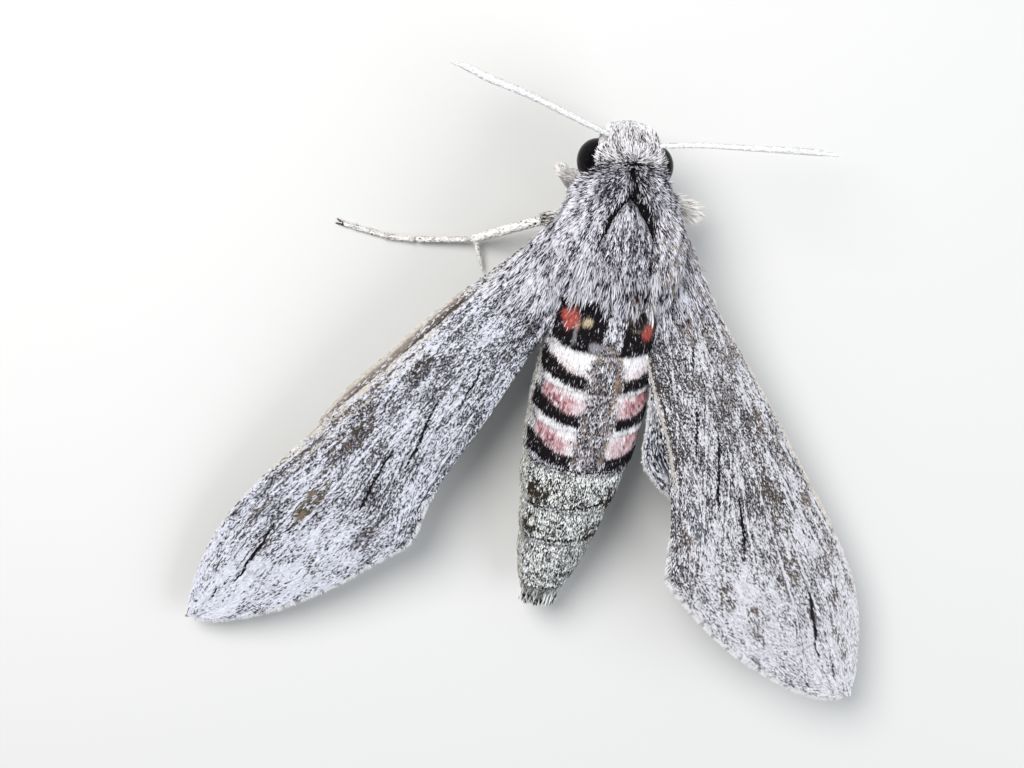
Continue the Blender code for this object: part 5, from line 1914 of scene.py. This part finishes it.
def leg_parts(name, leg):
    hip, knee, ankle = (np.array(leg[key]) for key in ("hip", "knee", "ankle"))
    knee_paint = KNEE_WHITE if "fore" in name else LEG_DARK
    brown = KNEE_BROWN.get(name, 0.25)
    parts = [limb(hip, knee, THIGH_RADII, 26, 16, 0.22, knee_paint, mark=(0.2, 0.1, brown)),
             limb(knee, ankle, SHIN_RADII, 30, 16, 0.10, mark=(0.35 * brown, 0.0, 0.06))]
    if "spurs" in leg:
        parts.append(limb(*leg["spurs"], SPUR_RADII, 16, 10, 0.12))
    return parts + foot_joints(ankle, leg["foot"])


print("joints of one leg:", len(leg_parts("midleg_left", LEGS["midleg_left"])))

# %% [markdown]
# The right foreleg is the shaggy one: its thigh hair is longer and stands well off.

# %% Legs
leg_base = skin_finish("leg_base", (0.74, 0.71, 0.68), (0.10, 0.08, 0.07), across=14.0,
                       along=40.0, shadow=0.85)
leg_coat = coat_finish("leg_coat", (0.86, 0.85, 0.83), (0.36, 0.31, 0.27), root=0.8)
for number, (name, leg) in enumerate(LEGS.items()):
    skin = build_skin(name + "_skin", leg_parts(name, leg))
    dress(skin, leg_base, "pale_leg", name + "_femur", name + "_tibia", name + "_tarsus")
    thigh = read(skin.data, "place", 3)[:, 0]
    length, lift, splay = (1.3, 26, 30) if name == "foreleg_right" else (0.8, 12, 16)
    grow_coat(name + "_thigh_hair", skin, hair_lance, thigh, density=70.0, length=length,
              width=0.10, lift=lift, splay=splay, seed=80 + number, finish=leg_coat,
              slot="dark_leg")
    grow_coat(name + "_shin_scales", skin, flat_scale, 1.0 - thigh, density=75.0, length=0.34,
              width=0.12, lift=8, splay=14, seed=90 + number, finish=leg_coat, slot="pale_leg")
for blade in BLADES:
    bpy.data.objects.remove(blade)
print("coat triangles in all:", sum(coat_counts.values()))

# %% [markdown]
# ## Floor, light and camera
# A plain pale floor, a large soft key light from the front left, a weaker fill from the right
# and a pale sky. The camera looks down from above and a little in front.

# %% Floor and lights
FLOOR_REACH = 0.9  # metres each way
FLOOR_GREY = (0.62, 0.62, 0.61, 1.0)
LIGHT_TARGET = (0, 12, 5)
SKY = (0.90, 0.94, 1.0, 1.0)
SKY_STRENGTH = 0.42
floor_mesh = bpy.data.meshes.new("floor")
floor_mesh.from_pydata([(x * FLOOR_REACH, y * FLOOR_REACH, 0.0)
                        for x, y in ((-1, -1), (1, -1), (1, 1), (-1, 1))], [], [(0, 1, 2, 3)])
paper, _, paper_shader = new_finish("floor_paper", 0.9)
paper_shader.inputs["Base Color"].default_value = FLOOR_GREY
floor_mesh.materials.append(paper)
add_object("floor", floor_mesh)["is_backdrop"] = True


def area_light(name, place, size, power, colour):
    """A round soft light; place is in the moth's layout, size in metres, power in watts."""
    data = bpy.data.lights.new(name, "AREA")
    data.shape = "DISK"
    data.size = size
    data.energy = power
    data.color = colour
    lamp = add_object(name, data)
    lamp.location = Vector(place) * MM + SHIFT
    toward = Vector(LIGHT_TARGET) * MM + SHIFT - lamp.location
    lamp.rotation_euler = toward.to_track_quat("-Z", "Y").to_euler()


area_light("key", (150, -130, 230), size=0.16, power=1.15, colour=(1.0, 0.985, 0.96))
area_light("fill", (-190, 60, 180), size=0.25, power=0.42, colour=(0.93, 0.96, 1.0))
world = bpy.data.worlds.new("sky")
world.use_nodes = True
background = world.node_tree.nodes["Background"]
background.inputs["Color"].default_value = SKY
background.inputs["Strength"].default_value = SKY_STRENGTH
bpy.context.scene.world = world
bpy.context.scene.view_settings.view_transform = "Standard"
print("lights:", [item.name for item in bpy.data.lights if item.users])

# %% [markdown]
# The moth is small, so the camera stands a hand's length away. Its lens follows from how much
# of the picture's width one millimetre should fill at that distance.

# %% Camera
VIEW_TARGET = Vector((6.8, 15.2, 7.0))
VIEW_DIRECTION = Vector((0.20, -0.28, 0.9390)).normalized()
VIEW_DISTANCE = 170.0  # mm from the moth
VIEW_TILT = math.radians(8.0)  # how far the camera is rolled
SHARE_OF_WIDTH = 11.2 / 1024.0  # share of the picture's width that one millimetre fills


def make_camera():
    """Look at the target with the moth's head toward the top, rolled by the tilt."""
    ahead = Vector((0.0, -1.0, 0.0))
    up = (ahead - VIEW_DIRECTION * ahead.dot(VIEW_DIRECTION)).normalized()
    right = up.cross(VIEW_DIRECTION)
    up = up * math.cos(VIEW_TILT) - right * math.sin(VIEW_TILT)
    right = up.cross(VIEW_DIRECTION)
    data = bpy.data.cameras.new("camera")
    data.sensor_width = 36.0
    data.lens = SHARE_OF_WIDTH * VIEW_DISTANCE * data.sensor_width
    data.clip_start = 0.005
    camera = add_object("camera", data)
    turn = Matrix((right, up, VIEW_DIRECTION)).transposed().to_4x4()
    spot = (VIEW_TARGET + VIEW_DIRECTION * VIEW_DISTANCE) * MM + SHIFT
    camera.matrix_world = Matrix.Translation(spot) @ turn
    bpy.context.scene.camera = camera
    return data.lens


print("lens mm:", round(make_camera(), 2))

# %% [markdown]
# ## Sizes and the end
# The dressed moth should stay as large as the frame says, so how far it stands past the frame's
# box on each side is printed.

# %% Sizes and finish
moth_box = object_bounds()
for axis, low, high, cad_low, cad_high in zip("xyz", *moth_box, *cad_box):
    print(axis, "proud in mm:", round((cad_low - low) / MM, 2), round((high - cad_high) / MM, 2))
